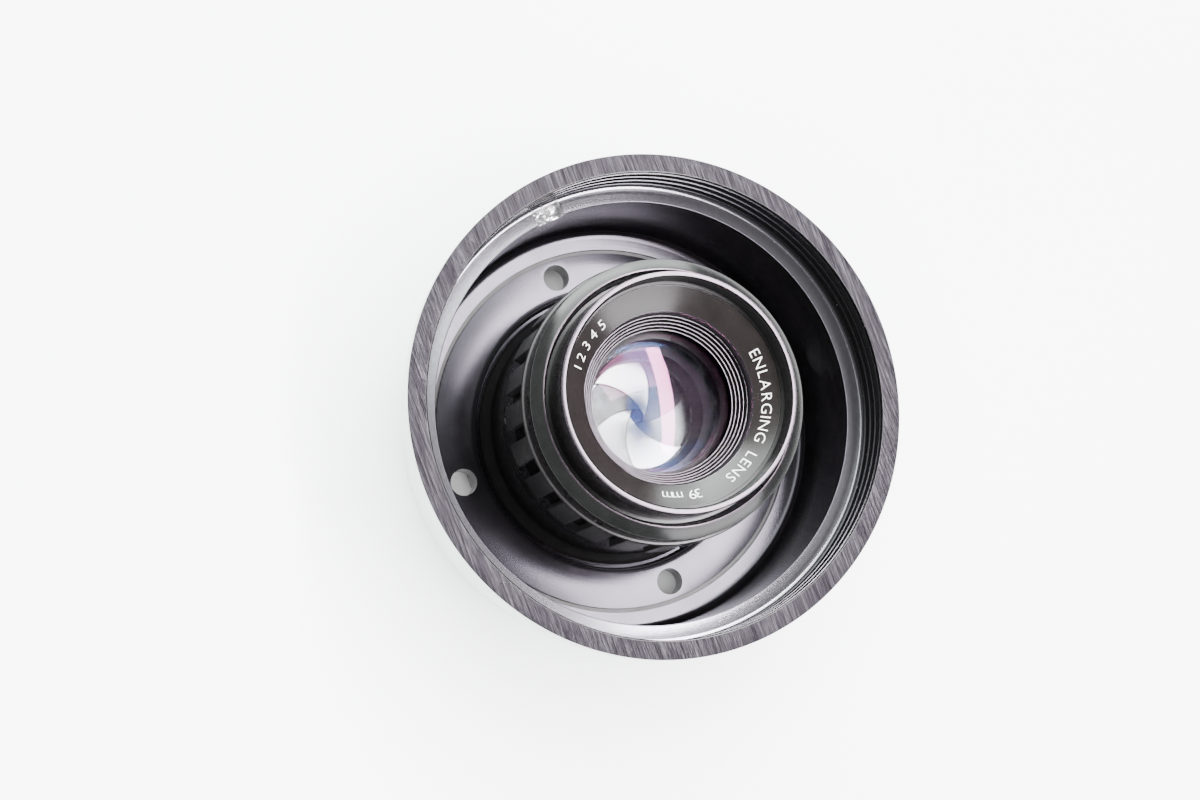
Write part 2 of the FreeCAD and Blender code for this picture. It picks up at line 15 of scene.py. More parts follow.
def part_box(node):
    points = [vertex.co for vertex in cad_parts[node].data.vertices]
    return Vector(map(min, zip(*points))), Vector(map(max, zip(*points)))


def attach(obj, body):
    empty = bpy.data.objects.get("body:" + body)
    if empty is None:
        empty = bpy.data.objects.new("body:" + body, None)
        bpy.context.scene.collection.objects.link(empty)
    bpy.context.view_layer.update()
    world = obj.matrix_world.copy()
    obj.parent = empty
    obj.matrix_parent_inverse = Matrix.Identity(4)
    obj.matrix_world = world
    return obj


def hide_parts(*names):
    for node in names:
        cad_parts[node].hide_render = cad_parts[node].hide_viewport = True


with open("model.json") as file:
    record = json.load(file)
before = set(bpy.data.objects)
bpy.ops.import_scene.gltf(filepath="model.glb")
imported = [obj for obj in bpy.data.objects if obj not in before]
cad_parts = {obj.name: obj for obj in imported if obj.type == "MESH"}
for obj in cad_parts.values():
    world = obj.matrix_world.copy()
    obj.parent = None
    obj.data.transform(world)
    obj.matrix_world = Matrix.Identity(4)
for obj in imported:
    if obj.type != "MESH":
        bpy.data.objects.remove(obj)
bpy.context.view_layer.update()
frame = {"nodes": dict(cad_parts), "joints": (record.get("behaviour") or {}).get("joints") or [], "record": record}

MM = 0.001
FIXED = "barrel_and_board"
RING = "aperture_ring"


# ---------------------------------------------------------------- sizes taken from the CAD

def top(node):
    """Highest point of a CAD node in millimetres."""
    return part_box(node)[1].z / MM


def bottom(node):
    """Lowest point of a CAD node in millimetres."""
    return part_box(node)[0].z / MM


def radius(node):
    """Outer radius of a turned CAD node in millimetres."""
    low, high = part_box(node)
    return (high.x - low.x) / 2 / MM


RIM_R, RIM_Z = radius("lens_cup"), top("lens_cup")
FLOOR_Z = bottom("lens_cup")
GRIP_R = radius("aperture_ring")
RING_TOP, RING_BOTTOM = top("aperture_ring"), bottom("aperture_ring")
CELL_R, CELL_TOP = radius("front_cell"), top("front_cell")
NAME_R, NAME_TOP = radius("name_ring"), top("name_ring")
GLASS_R, GLASS_TOP = radius("front_element"), top("front_element")
FRONT_RING_R, FRONT_RING_TOP = radius("front_barrel_ring"), top("front_barrel_ring")
FRONT_RING_BOTTOM = bottom("front_barrel_ring")
BARREL_BOTTOM, BARREL_TOP = bottom("main_barrel"), top("main_barrel")
FLANGE_R = radius("main_barrel")

# Small screws, click stop and stops of the aperture ring
SCREW_R = 0.8
DRIVE_SCREW_ANGLE, GRUB_ANGLES = 250.0, (70.0, 190.0, 310.0)
DRIVE_SCREW_Z = (top("drive_screw") + bottom("drive_screw")) / 2
BALL_RING_R, BALL_ANGLE = 18.2, 330.0
STOPS = ("4.5", "5.6", "8", "11", "16", "22")

SEGMENTS = 288


# ---------------------------------------------------------------- mesh helpers

def new_object(name, mesh, body):
    """Link a mesh as a piece of the object that rides a CAD body."""
    obj = bpy.data.objects.new(name, mesh)
    bpy.context.scene.collection.objects.link(obj)
    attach(obj, body)
    return obj


def round_corner(before, corner, after, size, steps=4):
    """Points of a small arc that replaces a profile corner."""
    here = Vector(corner)
    back, ahead = Vector(before) - here, Vector(after) - here
    reach = min(size, back.length * 0.45, ahead.length * 0.45)
    start, end = here + back.normalized() * reach, here + ahead.normalized() * reach
    points = []
    for i in range(steps + 1):
        t = i / steps
        points.append((1 - t) ** 2 * start + 2 * t * (1 - t) * here + t ** 2 * end)
    return points


def rounded_profile(corners):
    """Open or closed profile with rounded corners as (point, material index) pairs.

    Each corner is (radius, height, rounding, material of the wall that follows it).
    """
    result = []
    count = len(corners)
    for i, (r, z, size, material) in enumerate(corners):
        before, after = corners[i - 1][:2], corners[(i + 1) % count][:2]
        if size > 0:
            for point in round_corner(before, (r, z), after, size):
                result.append((point.x, point.y, material))
        else:
            result.append((r, z, material))
    return result


def lathe_mesh(name, corners, closed=True, segments=SEGMENTS):
    """Turned mesh from profile corners; the profile closes on itself unless it meets the axis."""
    profile = rounded_profile(corners) if closed else open_profile(corners)
    mesh_maker = bmesh.new()
    rings = []
    for r, z, _ in profile:
        if r < 1e-6:
            rings.append([mesh_maker.verts.new((0, 0, z * MM))])
            continue
        ring = []
        for k in range(segments):
            angle = 2 * pi * k / segments
            ring.append(mesh_maker.verts.new((r * cos(angle) * MM, r * sin(angle) * MM, z * MM)))
        rings.append(ring)
    pairs = len(rings) if closed else len(rings) - 1
    for i in range(pairs):
        join_rings(mesh_maker, rings[i], rings[(i + 1) % len(rings)], profile[i][2], segments)
    bmesh.ops.recalc_face_normals(mesh_maker, faces=mesh_maker.faces)
    mesh = bpy.data.meshes.new(name)
    mesh_maker.to_mesh(mesh)
    mesh_maker.free()
    return mesh


def open_profile(corners):
    """Rounded profile whose two end corners stay sharp, for a solid that meets the axis."""
    result = [(corners[0][0], corners[0][1], corners[0][3])]
    for i in range(1, len(corners) - 1):
        r, z, size, material = corners[i]
        if size > 0:
            for point in round_corner(corners[i - 1][:2], (r, z), corners[i + 1][:2], size):
                result.append((point.x, point.y, material))
        else:
            result.append((r, z, material))
    last = corners[-1]
    return result + [(last[0], last[1], last[3])]


def join_rings(mesh_maker, lower, upper, material, segments):
    """Faces between two rings of vertices, either of which may be a single point."""
    for k in range(segments):
        after = (k + 1) % segments
        if len(lower) == 1 and len(upper) == 1:
            return
        if len(lower) == 1:
            corners = [lower[0], upper[k], upper[after]]
        elif len(upper) == 1:
            corners = [lower[k], lower[after], upper[0]]
        else:
            corners = [lower[k], lower[after], upper[after], upper[k]]
        face = mesh_maker.faces.new(corners)
        face.material_index = material
        face.smooth = True


def finish_mesh(mesh, materials, sharp_angle=32):
    """Give a mesh its materials and smooth shading that keeps edges above an angle sharp."""
    for material in materials:
        mesh.materials.append(material)
    for polygon in mesh.polygons:
        polygon.use_smooth = True
    mesh.set_sharp_from_angle(angle=radians(sharp_angle))


def turned_piece(name, corners, materials, node, body=FIXED, closed=True):
    """Turned piece that stands for a CAD node."""
    mesh = lathe_mesh(name, corners, closed)
    finish_mesh(mesh, materials)
    obj = new_object(name, mesh, body)
    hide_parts(node)
    return obj


def cut_away(obj, cutters):
    """Cut solids out of an object; the cut faces keep the cutters' materials."""
    for cutter in cutters:
        modifier = obj.modifiers.new("cut", "BOOLEAN")
        modifier.operation = "DIFFERENCE"
        modifier.solver = "EXACT"
        modifier.material_mode = "TRANSFER"
        modifier.object = cutter
    bpy.context.view_layer.update()
    depsgraph = bpy.context.evaluated_depsgraph_get()
    cut_mesh = bpy.data.meshes.new_from_object(obj.evaluated_get(depsgraph))
    obj.modifiers.clear()
    obj.data = cut_mesh
    for cutter in cutters:
        bpy.data.objects.remove(cutter)
    for polygon in cut_mesh.polygons:
        polygon.use_smooth = True
    cut_mesh.set_sharp_from_angle(angle=radians(32))


def loose_object(name, mesh):
    """Object that is only used as a tool while modelling."""
    obj = bpy.data.objects.new(name, mesh)
    bpy.context.scene.collection.objects.link(obj)
    return obj


def bar_mesh(name, bar_r, start, end, segments=64, bevel=0.0):
    """Round bar between two points in millimetres."""
    start, end = Vector(start), Vector(end)
    mesh_maker = bmesh.new()
    made = bmesh.ops.create_cone(
        mesh_maker, cap_ends=True, segments=segments,
        radius1=bar_r * MM, radius2=bar_r * MM, depth=(end - start).length * MM,
    )
    if bevel > 0:
        rims = [e for e in mesh_maker.edges if len(e.link_faces) == 2 and any(len(f.verts) > 4 for f in e.link_faces)]
        bmesh.ops.bevel(mesh_maker, geom=rims, offset=bevel * MM, segments=2, affect="EDGES")
    turn = (end - start).to_track_quat("Z", "Y").to_matrix().to_4x4()
    place = Matrix.Translation((start + end) / 2 * MM) @ turn
    bmesh.ops.transform(mesh_maker, matrix=place, verts=mesh_maker.verts)
    mesh = bpy.data.meshes.new(name)
    mesh_maker.to_mesh(mesh)
    mesh_maker.free()
    return mesh


def drill(material, bar_r, start, end):
    """Round bar that drills a hole in another piece."""
    mesh = bar_mesh("drill", bar_r, start, end, 48)
    mesh.materials.append(material)
    return loose_object("drill", mesh)


def radial_drill(material, bar_r, inner_r, outer_r, angle, z):
    """Drill that points outwards from the optical axis."""
    return drill(material, bar_r, polar(inner_r, angle, z), polar(outer_r, angle, z))


def sector_cutter(material, radii, heights, angles):
    """Sector of a tube that cuts a slot round part of a wall."""
    steps = 48
    (inner_r, outer_r), (low_z, high_z), (start, end) = radii, heights, angles
    corners = ((inner_r, low_z), (outer_r, low_z), (outer_r, high_z), (inner_r, high_z))
    mesh_maker = bmesh.new()
    sections = []
    for step in range(steps + 1):
        angle = start + (end - start) * step / steps
        sections.append([mesh_maker.verts.new(polar(r, angle, z) * MM) for r, z in corners])
    for here, after in zip(sections, sections[1:]):
        for k in range(len(corners)):
            up = (k + 1) % len(corners)
            mesh_maker.faces.new([here[k], here[up], after[up], after[k]])
    mesh_maker.faces.new(sections[0])
    mesh_maker.faces.new(sections[-1])
    bmesh.ops.recalc_face_normals(mesh_maker, faces=mesh_maker.faces)
    mesh = bpy.data.meshes.new("slot")
    mesh_maker.to_mesh(mesh)
    mesh_maker.free()
    mesh.materials.append(material)
    return loose_object("slot", mesh)


def ball_cutter(material, ball_r, centre):
    """Ball that presses a dimple into a face."""
    mesh_maker = bmesh.new()
    bmesh.ops.create_uvsphere(mesh_maker, u_segments=32, v_segments=16, radius=ball_r * MM)
    bmesh.ops.translate(mesh_maker, vec=centre * MM, verts=mesh_maker.verts)
    mesh = bpy.data.meshes.new("dimple")
    mesh_maker.to_mesh(mesh)
    mesh_maker.free()
    mesh.materials.append(material)
    return loose_object("dimple", mesh)


def polar(r, angle, z=0.0):
    """Point in millimetres from a radius and an angle in degrees."""
    return Vector((r * cos(radians(angle)), r * sin(radians(angle)), z))


# ---------------------------------------------------------------- material helpers

class Nodes:
    """Small helper that builds one node material."""

    def __init__(self, name):
        self.material = bpy.data.materials.new(name)
        self.material.use_nodes = True
        self.tree = self.material.node_tree
        self.tree.nodes.clear()
        self.output = self.add("ShaderNodeOutputMaterial")

    def add(self, kind, **inputs):
        """New node with input values; names use underscores for spaces."""
        node = self.tree.nodes.new(kind)
        for key, value in inputs.items():
            node.inputs[key.replace("_", " ")].default_value = value
        return node

    def link(self, source, target):
        """Link an output socket to an input socket."""
        self.tree.links.new(source, target)

    def position(self, scale=(1, 1, 1)):
        """Object coordinates in millimetres, stretched by a scale."""
        coordinates = self.add("ShaderNodeTexCoord")
        mapping = self.add("ShaderNodeMapping")
        mapping.inputs["Scale"].default_value = [1000 * s for s in scale]
        self.link(coordinates.outputs["Object"], mapping.inputs["Vector"])
        return mapping.outputs["Vector"]

    def math(self, operation, first, second=None):
        """Math node on sockets or numbers."""
        node = self.add("ShaderNodeMath")
        node.operation = operation
        for index, value in enumerate((first, second)):
            if value is None:
                continue
            if isinstance(value, (int, float)):
                node.inputs[index].default_value = value
            else:
                self.link(value, node.inputs[index])
        return node.outputs[0]

    def noise(self, vector, scale, detail=3.0, roughness=0.55):
        """Noise value at a scale in cycles per millimetre."""
        node = self.add("ShaderNodeTexNoise", Scale=scale, Detail=detail, Roughness=roughness)
        self.link(vector, node.inputs["Vector"])
        return node.outputs["Fac"]

    def ramp(self, value, stops, color=False):
        """Colour ramp output from (position, value) stops."""
        node = self.add("ShaderNodeValToRGB")
        while len(node.color_ramp.elements) < len(stops):
            node.color_ramp.elements.new(0.5)
        for element, (position, level) in zip(node.color_ramp.elements, stops):
            element.position = position
            element.color = (*level, 1) if color else (level, level, level, 1)
        self.link(value, node.inputs["Fac"])
        return node.outputs["Color"]

    def turning_coordinate(self, radial=1.0, axial=1.0):
        """Vector that is constant along a lathe cut: radius and height only."""
        vector = self.position()
        parts = self.add("ShaderNodeSeparateXYZ")
        self.link(vector, parts.inputs[0])
        square = self.math("ADD", self.math("MULTIPLY", parts.outputs[0], parts.outputs[0]),
                           self.math("MULTIPLY", parts.outputs[1], parts.outputs[1]))
        flat = self.math("SQRT", square)
        joined = self.add("ShaderNodeCombineXYZ")
        self.link(self.math("MULTIPLY", flat, radial), joined.inputs[0])
        self.link(self.math("MULTIPLY", parts.outputs[2], axial), joined.inputs[1])
        return joined.outputs[0]

    def bump(self, height, strength, distance=0.00005, after=None):
        """Bump node output; distance is in metres."""
        node = self.add("ShaderNodeBump", Strength=strength, Distance=distance)
        self.link(height, node.inputs["Height"])
        if after is not None:
            self.link(after, node.inputs["Normal"])
        return node.outputs["Normal"]

    def surface(self, color, rough, normal=None, **settings):
        """Principled shader on the output; color and rough may be sockets."""
        shader = self.shader = self.add("ShaderNodeBsdfPrincipled", **settings)
        for value, socket in ((color, "Base Color"), (rough, "Roughness")):
            if hasattr(value, "is_linked"):
                self.link(value, shader.inputs[socket])
            elif socket == "Base Color":
                shader.inputs[socket].default_value = (*value, 1)
            else:
                shader.inputs[socket].default_value = value
        if normal is not None:
            self.link(normal, shader.inputs["Normal"])
        self.link(shader.outputs[0], self.output.inputs["Surface"])
        return self.material


def turned_black(name, color, rough, spread=0.08, cut=0.25, specular=0.5, tint=(1, 1, 1), cuts_per_mm=9.0):
    """Black anodised aluminium with fine turning lines."""
    nodes = Nodes(name)
    lines = nodes.noise(nodes.turning_coordinate(), cuts_per_mm, 2.0)
    cloud = nodes.noise(nodes.position(), 0.35, 4.0)
    roughness = nodes.math("ADD", rough - spread / 2, nodes.math("MULTIPLY", cloud, spread))
    shade = nodes.ramp(cloud, [(0.3, [c * 0.8 for c in color]), (0.7, [c * 1.2 for c in color])], True)
    grain = nodes.noise(nodes.position(), 28.0, 2.0)
    normal = nodes.bump(lines, cut, 0.00002)
    normal = nodes.bump(grain, cut * 0.5, 0.00001, normal)
    tangent = nodes.add("ShaderNodeTangent")
    tangent.direction_type, tangent.axis = "RADIAL", "Z"
    material = nodes.surface(shade, roughness, normal, Specular_IOR_Level=specular, Specular_Tint=(*tint, 1),
                             Anisotropic=0.65, Anisotropic_Rotation=0.25)
    nodes.link(tangent.outputs[0], nodes.shader.inputs["Tangent"])
    return material


def sawn_aluminium():
    """Bare rim face: straight parallel saw marks, grey with a lavender cast."""
    nodes = Nodes("sawn_aluminium")
    fine = nodes.noise(nodes.position((0.22, 8.5, 0.4)), 1.0, 4.0, 0.75)
    coarse = nodes.noise(nodes.position((0.12, 3.2, 0.1)), 1.0, 3.0)
    cloud = nodes.noise(nodes.position(), 0.12, 3.0)
    mixed = nodes.math("ADD", nodes.math("MULTIPLY", fine, 0.65), nodes.math("MULTIPLY", coarse, 0.35))
    color = nodes.ramp(mixed, [(0.34, (0.007, 0.006, 0.0075)), (0.5, (0.020, 0.0182, 0.0212)),
                               (0.68, (0.075, 0.071, 0.079))], True)
    rough = nodes.math("ADD", 0.22, nodes.math("MULTIPLY", cloud, 0.16))
    normal = nodes.bump(fine, 0.9, 0.00006)
    normal = nodes.bump(coarse, 0.6, 0.0001, normal)
    return nodes.surface(color, rough, normal, Metallic=1.0)


def cut_aluminium():
    """Freshly filed bright aluminium of the notch."""
    nodes = Nodes("cut_aluminium")
    marks = nodes.noise(nodes.position((2.2, 1.4, 2.2)), 1.0, 4.0, 0.7)
    color = nodes.ramp(marks, [(0.30, (0.20, 0.20, 0.205)), (0.46, (0.95, 0.94, 0.95))], True)
    normal = nodes.bump(marks, 0.8, 0.00008)
    return nodes.surface(color, 0.28, normal, Metallic=1.0)


def gloss_black():
    """Glossy black of the mouth, with rubbed spots on the crests."""
    nodes = Nodes("gloss_black")
    wear = nodes.noise(nodes.position((1.0, 1.0, 2.5)), 0.8, 6.0, 0.7)
    worn = nodes.ramp(wear, [(0.66, 0.0), (0.72, 1.0)])
    color = nodes.ramp(wear, [(0.68, (0.0015, 0.0015, 0.0017)), (0.74, (0.14, 0.135, 0.145))], True)
    rough = nodes.math("ADD", 0.16, nodes.math("MULTIPLY", worn, 0.25))
    normal = nodes.bump(nodes.noise(nodes.position(), 2.0, 4.0), 0.25, 0.00004)
    return nodes.surface(color, rough, normal, Specular_IOR_Level=0.38)


def satin_black():
    """Even satin black of the cup's floor, ledge and wall; it mirrors pale light as lavender."""
    nodes = Nodes("satin_black")
    cloud = nodes.noise(nodes.position(), 0.18, 4.0)
    grain = nodes.noise(nodes.position(), 9.0, 3.0)
    lines = nodes.noise(nodes.turning_coordinate(), 3.0, 3.0)
    rough = nodes.math("ADD", 0.15, nodes.math("MULTIPLY", cloud, 0.10))
    color = nodes.ramp(cloud, [(0.3, (0.0018, 0.0016, 0.0019)), (0.7, (0.0034, 0.0030, 0.0036))], True)
    normal = nodes.bump(lines, 0.10, 0.00003)
    normal = nodes.bump(grain, 0.12, 0.00001, normal)
    return nodes.surface(color, rough, normal, Specular_IOR_Level=0.46, Specular_Tint=(0.90, 0.86, 1.0, 1))


def pale_enamel():
    """Pale mint-white stoved paint on the outside of the cup."""
    nodes = Nodes("pale_enamel")
    cloud = nodes.noise(nodes.position(), 0.08, 3.0)
    peel = nodes.noise(nodes.position(), 1.6, 2.0)
    specks = nodes.noise(nodes.position(), 1.1, 6.0, 0.8)
    base = nodes.ramp(cloud, [(0.3, (0.29, 0.375, 0.325)), (0.7, (0.36, 0.44, 0.40))], True)
    dirt = nodes.ramp(specks, [(0.70, (0.0, 0.0, 0.0)), (0.78, (1.0, 1.0, 1.0))], True)
    mix = nodes.add("ShaderNodeMix")
    mix.data_type = "RGBA"
    nodes.link(dirt, mix.inputs[0])
    nodes.link(base, mix.inputs[6])
    mix.inputs[7].default_value = (0.42, 0.44, 0.40, 1)
    normal = nodes.bump(peel, 0.12, 0.0001)
    return nodes.surface(mix.outputs[2], 0.3, normal, Coat_Weight=0.4, Coat_Roughness=0.12)


def painted_highlight_edge(name, color, rough):
    """Pale metal colour along an edge: a painted highlight, its tone varied at random."""
    nodes = Nodes(name)
    wear = nodes.noise(nodes.position(), 1.4, 5.0, 0.7)
    lines = nodes.noise(nodes.turning_coordinate(), 14.0, 2.0)
    shade = nodes.ramp(wear, [(0.25, [c * 0.72 for c in color]), (0.75, color)], True)
    normal = nodes.bump(lines, 0.2, 0.00002)
    return nodes.surface(shade, rough, normal, Metallic=0.9)


def blade_steel(number, painted_light_tone):
    """Brushed spring steel with long fine scratches; each leaf's overall tone is painted light and shade for what
    that leaf mirrors.
    """
    nodes = Nodes(f"blade_steel_{number}")
    brush = nodes.noise(nodes.position((0.25, 5.0, 1.0)), 1.0, 5.0, 0.7)
    cloud = nodes.noise(nodes.position(), 0.3, 3.0)
    color = nodes.ramp(brush, [(0.30, [painted_light_tone * c for c in (0.60, 0.57, 0.55)]),
                               (0.70, [painted_light_tone, painted_light_tone * 0.98, painted_light_tone * 0.96])], True)
    rough = nodes.math("ADD", 0.12, nodes.math("MULTIPLY", cloud, 0.08))
    normal = nodes.bump(brush, 0.35, 0.00002)
    return nodes.surface(color, rough, normal, Metallic=0.85)


def plain_metal(name, color, rough):
    """Small steel or brass part with a slight cloud and grain."""
    nodes = Nodes(name)
    cloud = nodes.noise(nodes.position(), 0.9, 4.0)
    shade = nodes.ramp(cloud, [(0.3, [c * 0.8 for c in color]), (0.7, color)], True)
    normal = nodes.bump(nodes.noise(nodes.position(), 12.0, 3.0), 0.2, 0.00002)
    return nodes.surface(shade, rough, normal, Metallic=1.0)


def engraving_paint(name, color):
    """Matt paint filled into engraved lines."""
    nodes = Nodes(name)
    patch = nodes.noise(nodes.position(), 5.0, 3.0)
    shade = nodes.ramp(patch, [(0.3, [c * 0.86 for c in color]), (0.7, color)], True)
    return nodes.surface(shade, 0.55, nodes.bump(patch, 0.2, 0.00002))


def coated_glass(name, tint, strength):
    """Optical glass: what lies behind shows through, and the coating tints what it mirrors."""
    nodes = Nodes(name)
    fresnel = nodes.add("ShaderNodeFresnel", IOR=1.52)
    smear = nodes.noise(nodes.position(), 0.25, 3.0)
    share = nodes.math("MULTIPLY", fresnel.outputs[0],
                       nodes.math("ADD", strength * 0.9, nodes.math("MULTIPLY", smear, strength * 0.2)))
    clear = nodes.add("ShaderNodeBsdfTransparent")
    clear.inputs["Color"].default_value = (0.975, 0.985, 0.99, 1)
    mirror = nodes.add("ShaderNodeBsdfGlossy", Roughness=0.015)
    mirror.inputs["Color"].default_value = (*tint, 1)
    mix = nodes.add("ShaderNodeMixShader")
    nodes.link(share, mix.inputs[0])
    nodes.link(clear.outputs[0], mix.inputs[1])
    nodes.link(mirror.outputs[0], mix.inputs[2])
    nodes.link(mix.outputs[0], nodes.output.inputs["Surface"])
    return nodes.material


def floor_paper():
    """Plain pale floor."""
    nodes = Nodes("floor_paper")
    cloud = nodes.noise(nodes.position(), 0.01, 2.0)
    color = nodes.ramp(cloud, [(0.3, (0.86, 0.87, 0.87)), (0.7, (0.90, 0.90, 0.90))], True)
    return nodes.surface(color, 0.8)


# ---------------------------------------------------------------- lens board

def make_cup(mats):
    """Cup-shaped lens board with its threaded mouth, ledge, floor, holes and filed notch."""
    sawn, gloss, satin, pale, groove, ledge = range(6)
    plate_z = RIM_Z - 25.6
    seat_z = bottom("main_barrel") + 4.4
    mouth_r = RIM_R - 2.74
    ledge_z = RIM_Z - 8.0
    bore_r = RIM_R - 5.27
    recess_r = FLANGE_R + 0.5
    hub_r, thread_r = 22.2, 19.5
    skirt_in, skirt_out = 27.5, 30.0
    plate_bottom = plate_z - 3.6
    corners = [
        (RIM_R, RIM_Z, 0.12, sawn),
        (mouth_r + 0.15, RIM_Z, 0.05, gloss),
        (mouth_r, RIM_Z - 0.12, 0.05, gloss),
    ]
    crest_gap, groove_depth, crests = 2.0, 0.55, 3
    for turn in range(crests):
        crest_z = RIM_Z - 0.9 - turn * crest_gap
        corners.append((mouth_r, crest_z, 0.06, gloss))
        corners.append((mouth_r + groove_depth, crest_z - 0.45, 0.08, gloss))
        corners.append((mouth_r + groove_depth, crest_z - 0.95, 0.08, gloss))
        corners.append((mouth_r, crest_z - 1.35, 0.06, gloss))
    corners += [
        # The ledge's face takes the pale ledge material, a painted highlight on the black paint.
        (mouth_r, ledge_z + 0.1, 0.6, ledge),
        (bore_r, ledge_z + 0.6, 0.18, satin),
        (bore_r, plate_z + 0.02, 3.2, satin),
        (27.7, plate_z, 0.03, groove),
        (27.7, plate_z - 0.5, 0.03, groove),
        (27.1, plate_z - 0.5, 0.03, groove),
        (27.1, plate_z, 0.03, satin),
        (recess_r, plate_z, 1.5, satin),
        (recess_r, seat_z, 0.1, satin),
        (thread_r, seat_z, 0.1, satin),
        (thread_r, BARREL_BOTTOM, 0.15, satin),
        (hub_r, BARREL_BOTTOM, 0.3, satin),
        (hub_r, plate_bottom, 0.4, satin),
        (skirt_in, plate_bottom, 0.4, satin),
        (skirt_in, FLOOR_Z, 0.2, pale),
        (skirt_out, FLOOR_Z, 0.5, pale),
        (skirt_out, plate_bottom, 0.8, pale),
        (32.4, plate_z, 1.2, pale),
        (34.4, RIM_Z - 14.0, 3.0, pale),
        (RIM_R, RIM_Z - 3.0, 1.5, pale),
    ]
    materials = [mats[key] for key in ("sawn", "gloss", "satin", "pale", "inner", "ledge")]
    cup = turned_piece("lens_cup_shell", corners, materials, "lens_cup")
    mount = next(m for m in frame["record"]["mounts"] if m["name"] == "board_screws")
    hole_r, ring_r = mount["dims"]["hole_r_mm"], mount["dims"]["pcd_mm"] / 2
    cutters = []
    for angle in (0, 90, 180, 270):
        start, end = polar(ring_r, angle, plate_bottom - 1), polar(ring_r, angle, plate_z + 1)
        cutters.append(drill(mats["satin"], hole_r, start, end))
    cutters.append(notch_cutter(mats["cut"], bore_r, ledge_z))
    cut_away(cup, cutters)
    return cup


def notch_cutter(material, bore_r, ledge_z):
    """Rough block that files the notch through the ledge's lip."""
    width, depth, height, angle = 4.2, 3.0, 4.6, 186.0
    mesh_maker = bmesh.new()
    bmesh.ops.create_cube(mesh_maker, size=1.0)
    bmesh.ops.subdivide_edges(mesh_maker, edges=mesh_maker.edges, cuts=14, use_grid_fill=True)
    for vert in mesh_maker.verts:
        wobble = noise.noise_vector(vert.co * 9.0) * 0.07
        vert.co = (vert.co + wobble) * 1.0
        vert.co = Vector((vert.co.x * depth, vert.co.y * width, vert.co.z * height))
        vert.co += Vector((bore_r + depth / 2 - 0.9, 0, ledge_z - 1.1 + height / 2))
        vert.co *= MM
    turn = Matrix.Rotation(radians(angle), 4, "Z")
    bmesh.ops.transform(mesh_maker, matrix=turn, verts=mesh_maker.verts)
    bmesh.ops.recalc_face_normals(mesh_maker, faces=mesh_maker.faces)
    mesh = bpy.data.meshes.new("notch")
    mesh_maker.to_mesh(mesh)
    mesh_maker.free()
    mesh.materials.append(material)
    return loose_object("notch", mesh)


# ---------------------------------------------------------------- barrel and rings

def make_barrel(mats):
    """Fixed barrel behind and inside the aperture ring."""
    black = 0
    base_r, sleeve_r, bore_r, chamber_r = 19.0, 17.4, 16.4, 16.0
    shoulder_z, pivot_z, chamber_z = 17.2, bottom("iris_pivot_plate"), 18.2
    seat_z = BARREL_BOTTOM + 4.4
    corners = [
        (14.1, BARREL_BOTTOM, 0.1, black),
        (19.45, BARREL_BOTTOM, 0.3, black),
        (19.45, seat_z, 0.0, black),
        (FLANGE_R, seat_z, 0.15, black),
        (FLANGE_R, seat_z + 1.6, 0.25, black),
        (base_r, seat_z + 3.4, 0.6, black),
        (base_r, shoulder_z, 0.15, black),
        (sleeve_r, shoulder_z, 0.05, black),
        (sleeve_r, BARREL_TOP, 0.1, black),
        (bore_r, BARREL_TOP, 0.1, black),
        (bore_r, pivot_z, 0.05, black),
        (chamber_r, pivot_z, 0.05, black),
        (chamber_r, chamber_z, 0.05, black),
        (12.0, chamber_z, 0.1, black),
        (12.0, 2.7, 0.05, black),
        (14.1, 2.7, 0.05, black),
    ]
    barrel = turned_piece("main_barrel_body", corners, [mats["barrel"]], "main_barrel")
    margin = degrees(asin((SCREW_R + 0.25) / chamber_r))
    radii = (chamber_r - 0.5, sleeve_r + 0.5)
    heights = (DRIVE_SCREW_Z - SCREW_R - 0.1, DRIVE_SCREW_Z + SCREW_R + 0.1)
    angles = (DRIVE_SCREW_ANGLE - margin, DRIVE_SCREW_ANGLE + ring_travel() + margin)
    slot = sector_cutter(mats["barrel"], radii, heights, angles)
    hole_start = polar(BALL_RING_R, BALL_ANGLE, bottom("detent_spring") - 0.1)
    hole_end = polar(BALL_RING_R, BALL_ANGLE, shoulder_z + 1)
    ball_hole = drill(mats["barrel"], radius("detent_ball") + 0.03, hole_start, hole_end)
    cut_away(barrel, [slot, ball_hole])


def make_front_ring(mats):
    """Satin coned ring in front of the aperture ring, with a pink painted highlight along its front edge."""
    black, cone, edge = range(3)
    bore_r = 17.45
    corners = [
        (bore_r, FRONT_RING_BOTTOM, 0.05, black),
        (FRONT_RING_R, FRONT_RING_BOTTOM, 0.15, black),
        (FRONT_RING_R, FRONT_RING_TOP - 1.2, 0.12, cone),
        (18.28, FRONT_RING_TOP - 0.06, 0.0, edge),
        (18.05, FRONT_RING_TOP, 0.06, edge),
        (17.95, FRONT_RING_TOP - 0.08, 0.04, black),
        (17.6, FRONT_RING_TOP - 1.8, 0.1, black),
        (bore_r, BARREL_TOP, 0.05, black),
    ]
    materials = [mats["ring"], mats["cone"], mats["edge_pink"]]
    ring = turned_piece("front_ring_body", corners, materials, "front_barrel_ring")
    middle_z = (top("grub_screws") + bottom("grub_screws")) / 2
    reach = (bore_r - 0.5, FRONT_RING_R + 0.5)
    cut_away(ring, [radial_drill(mats["ring"], SCREW_R + 0.02, *reach, a, middle_z) for a in GRUB_ANGLES])


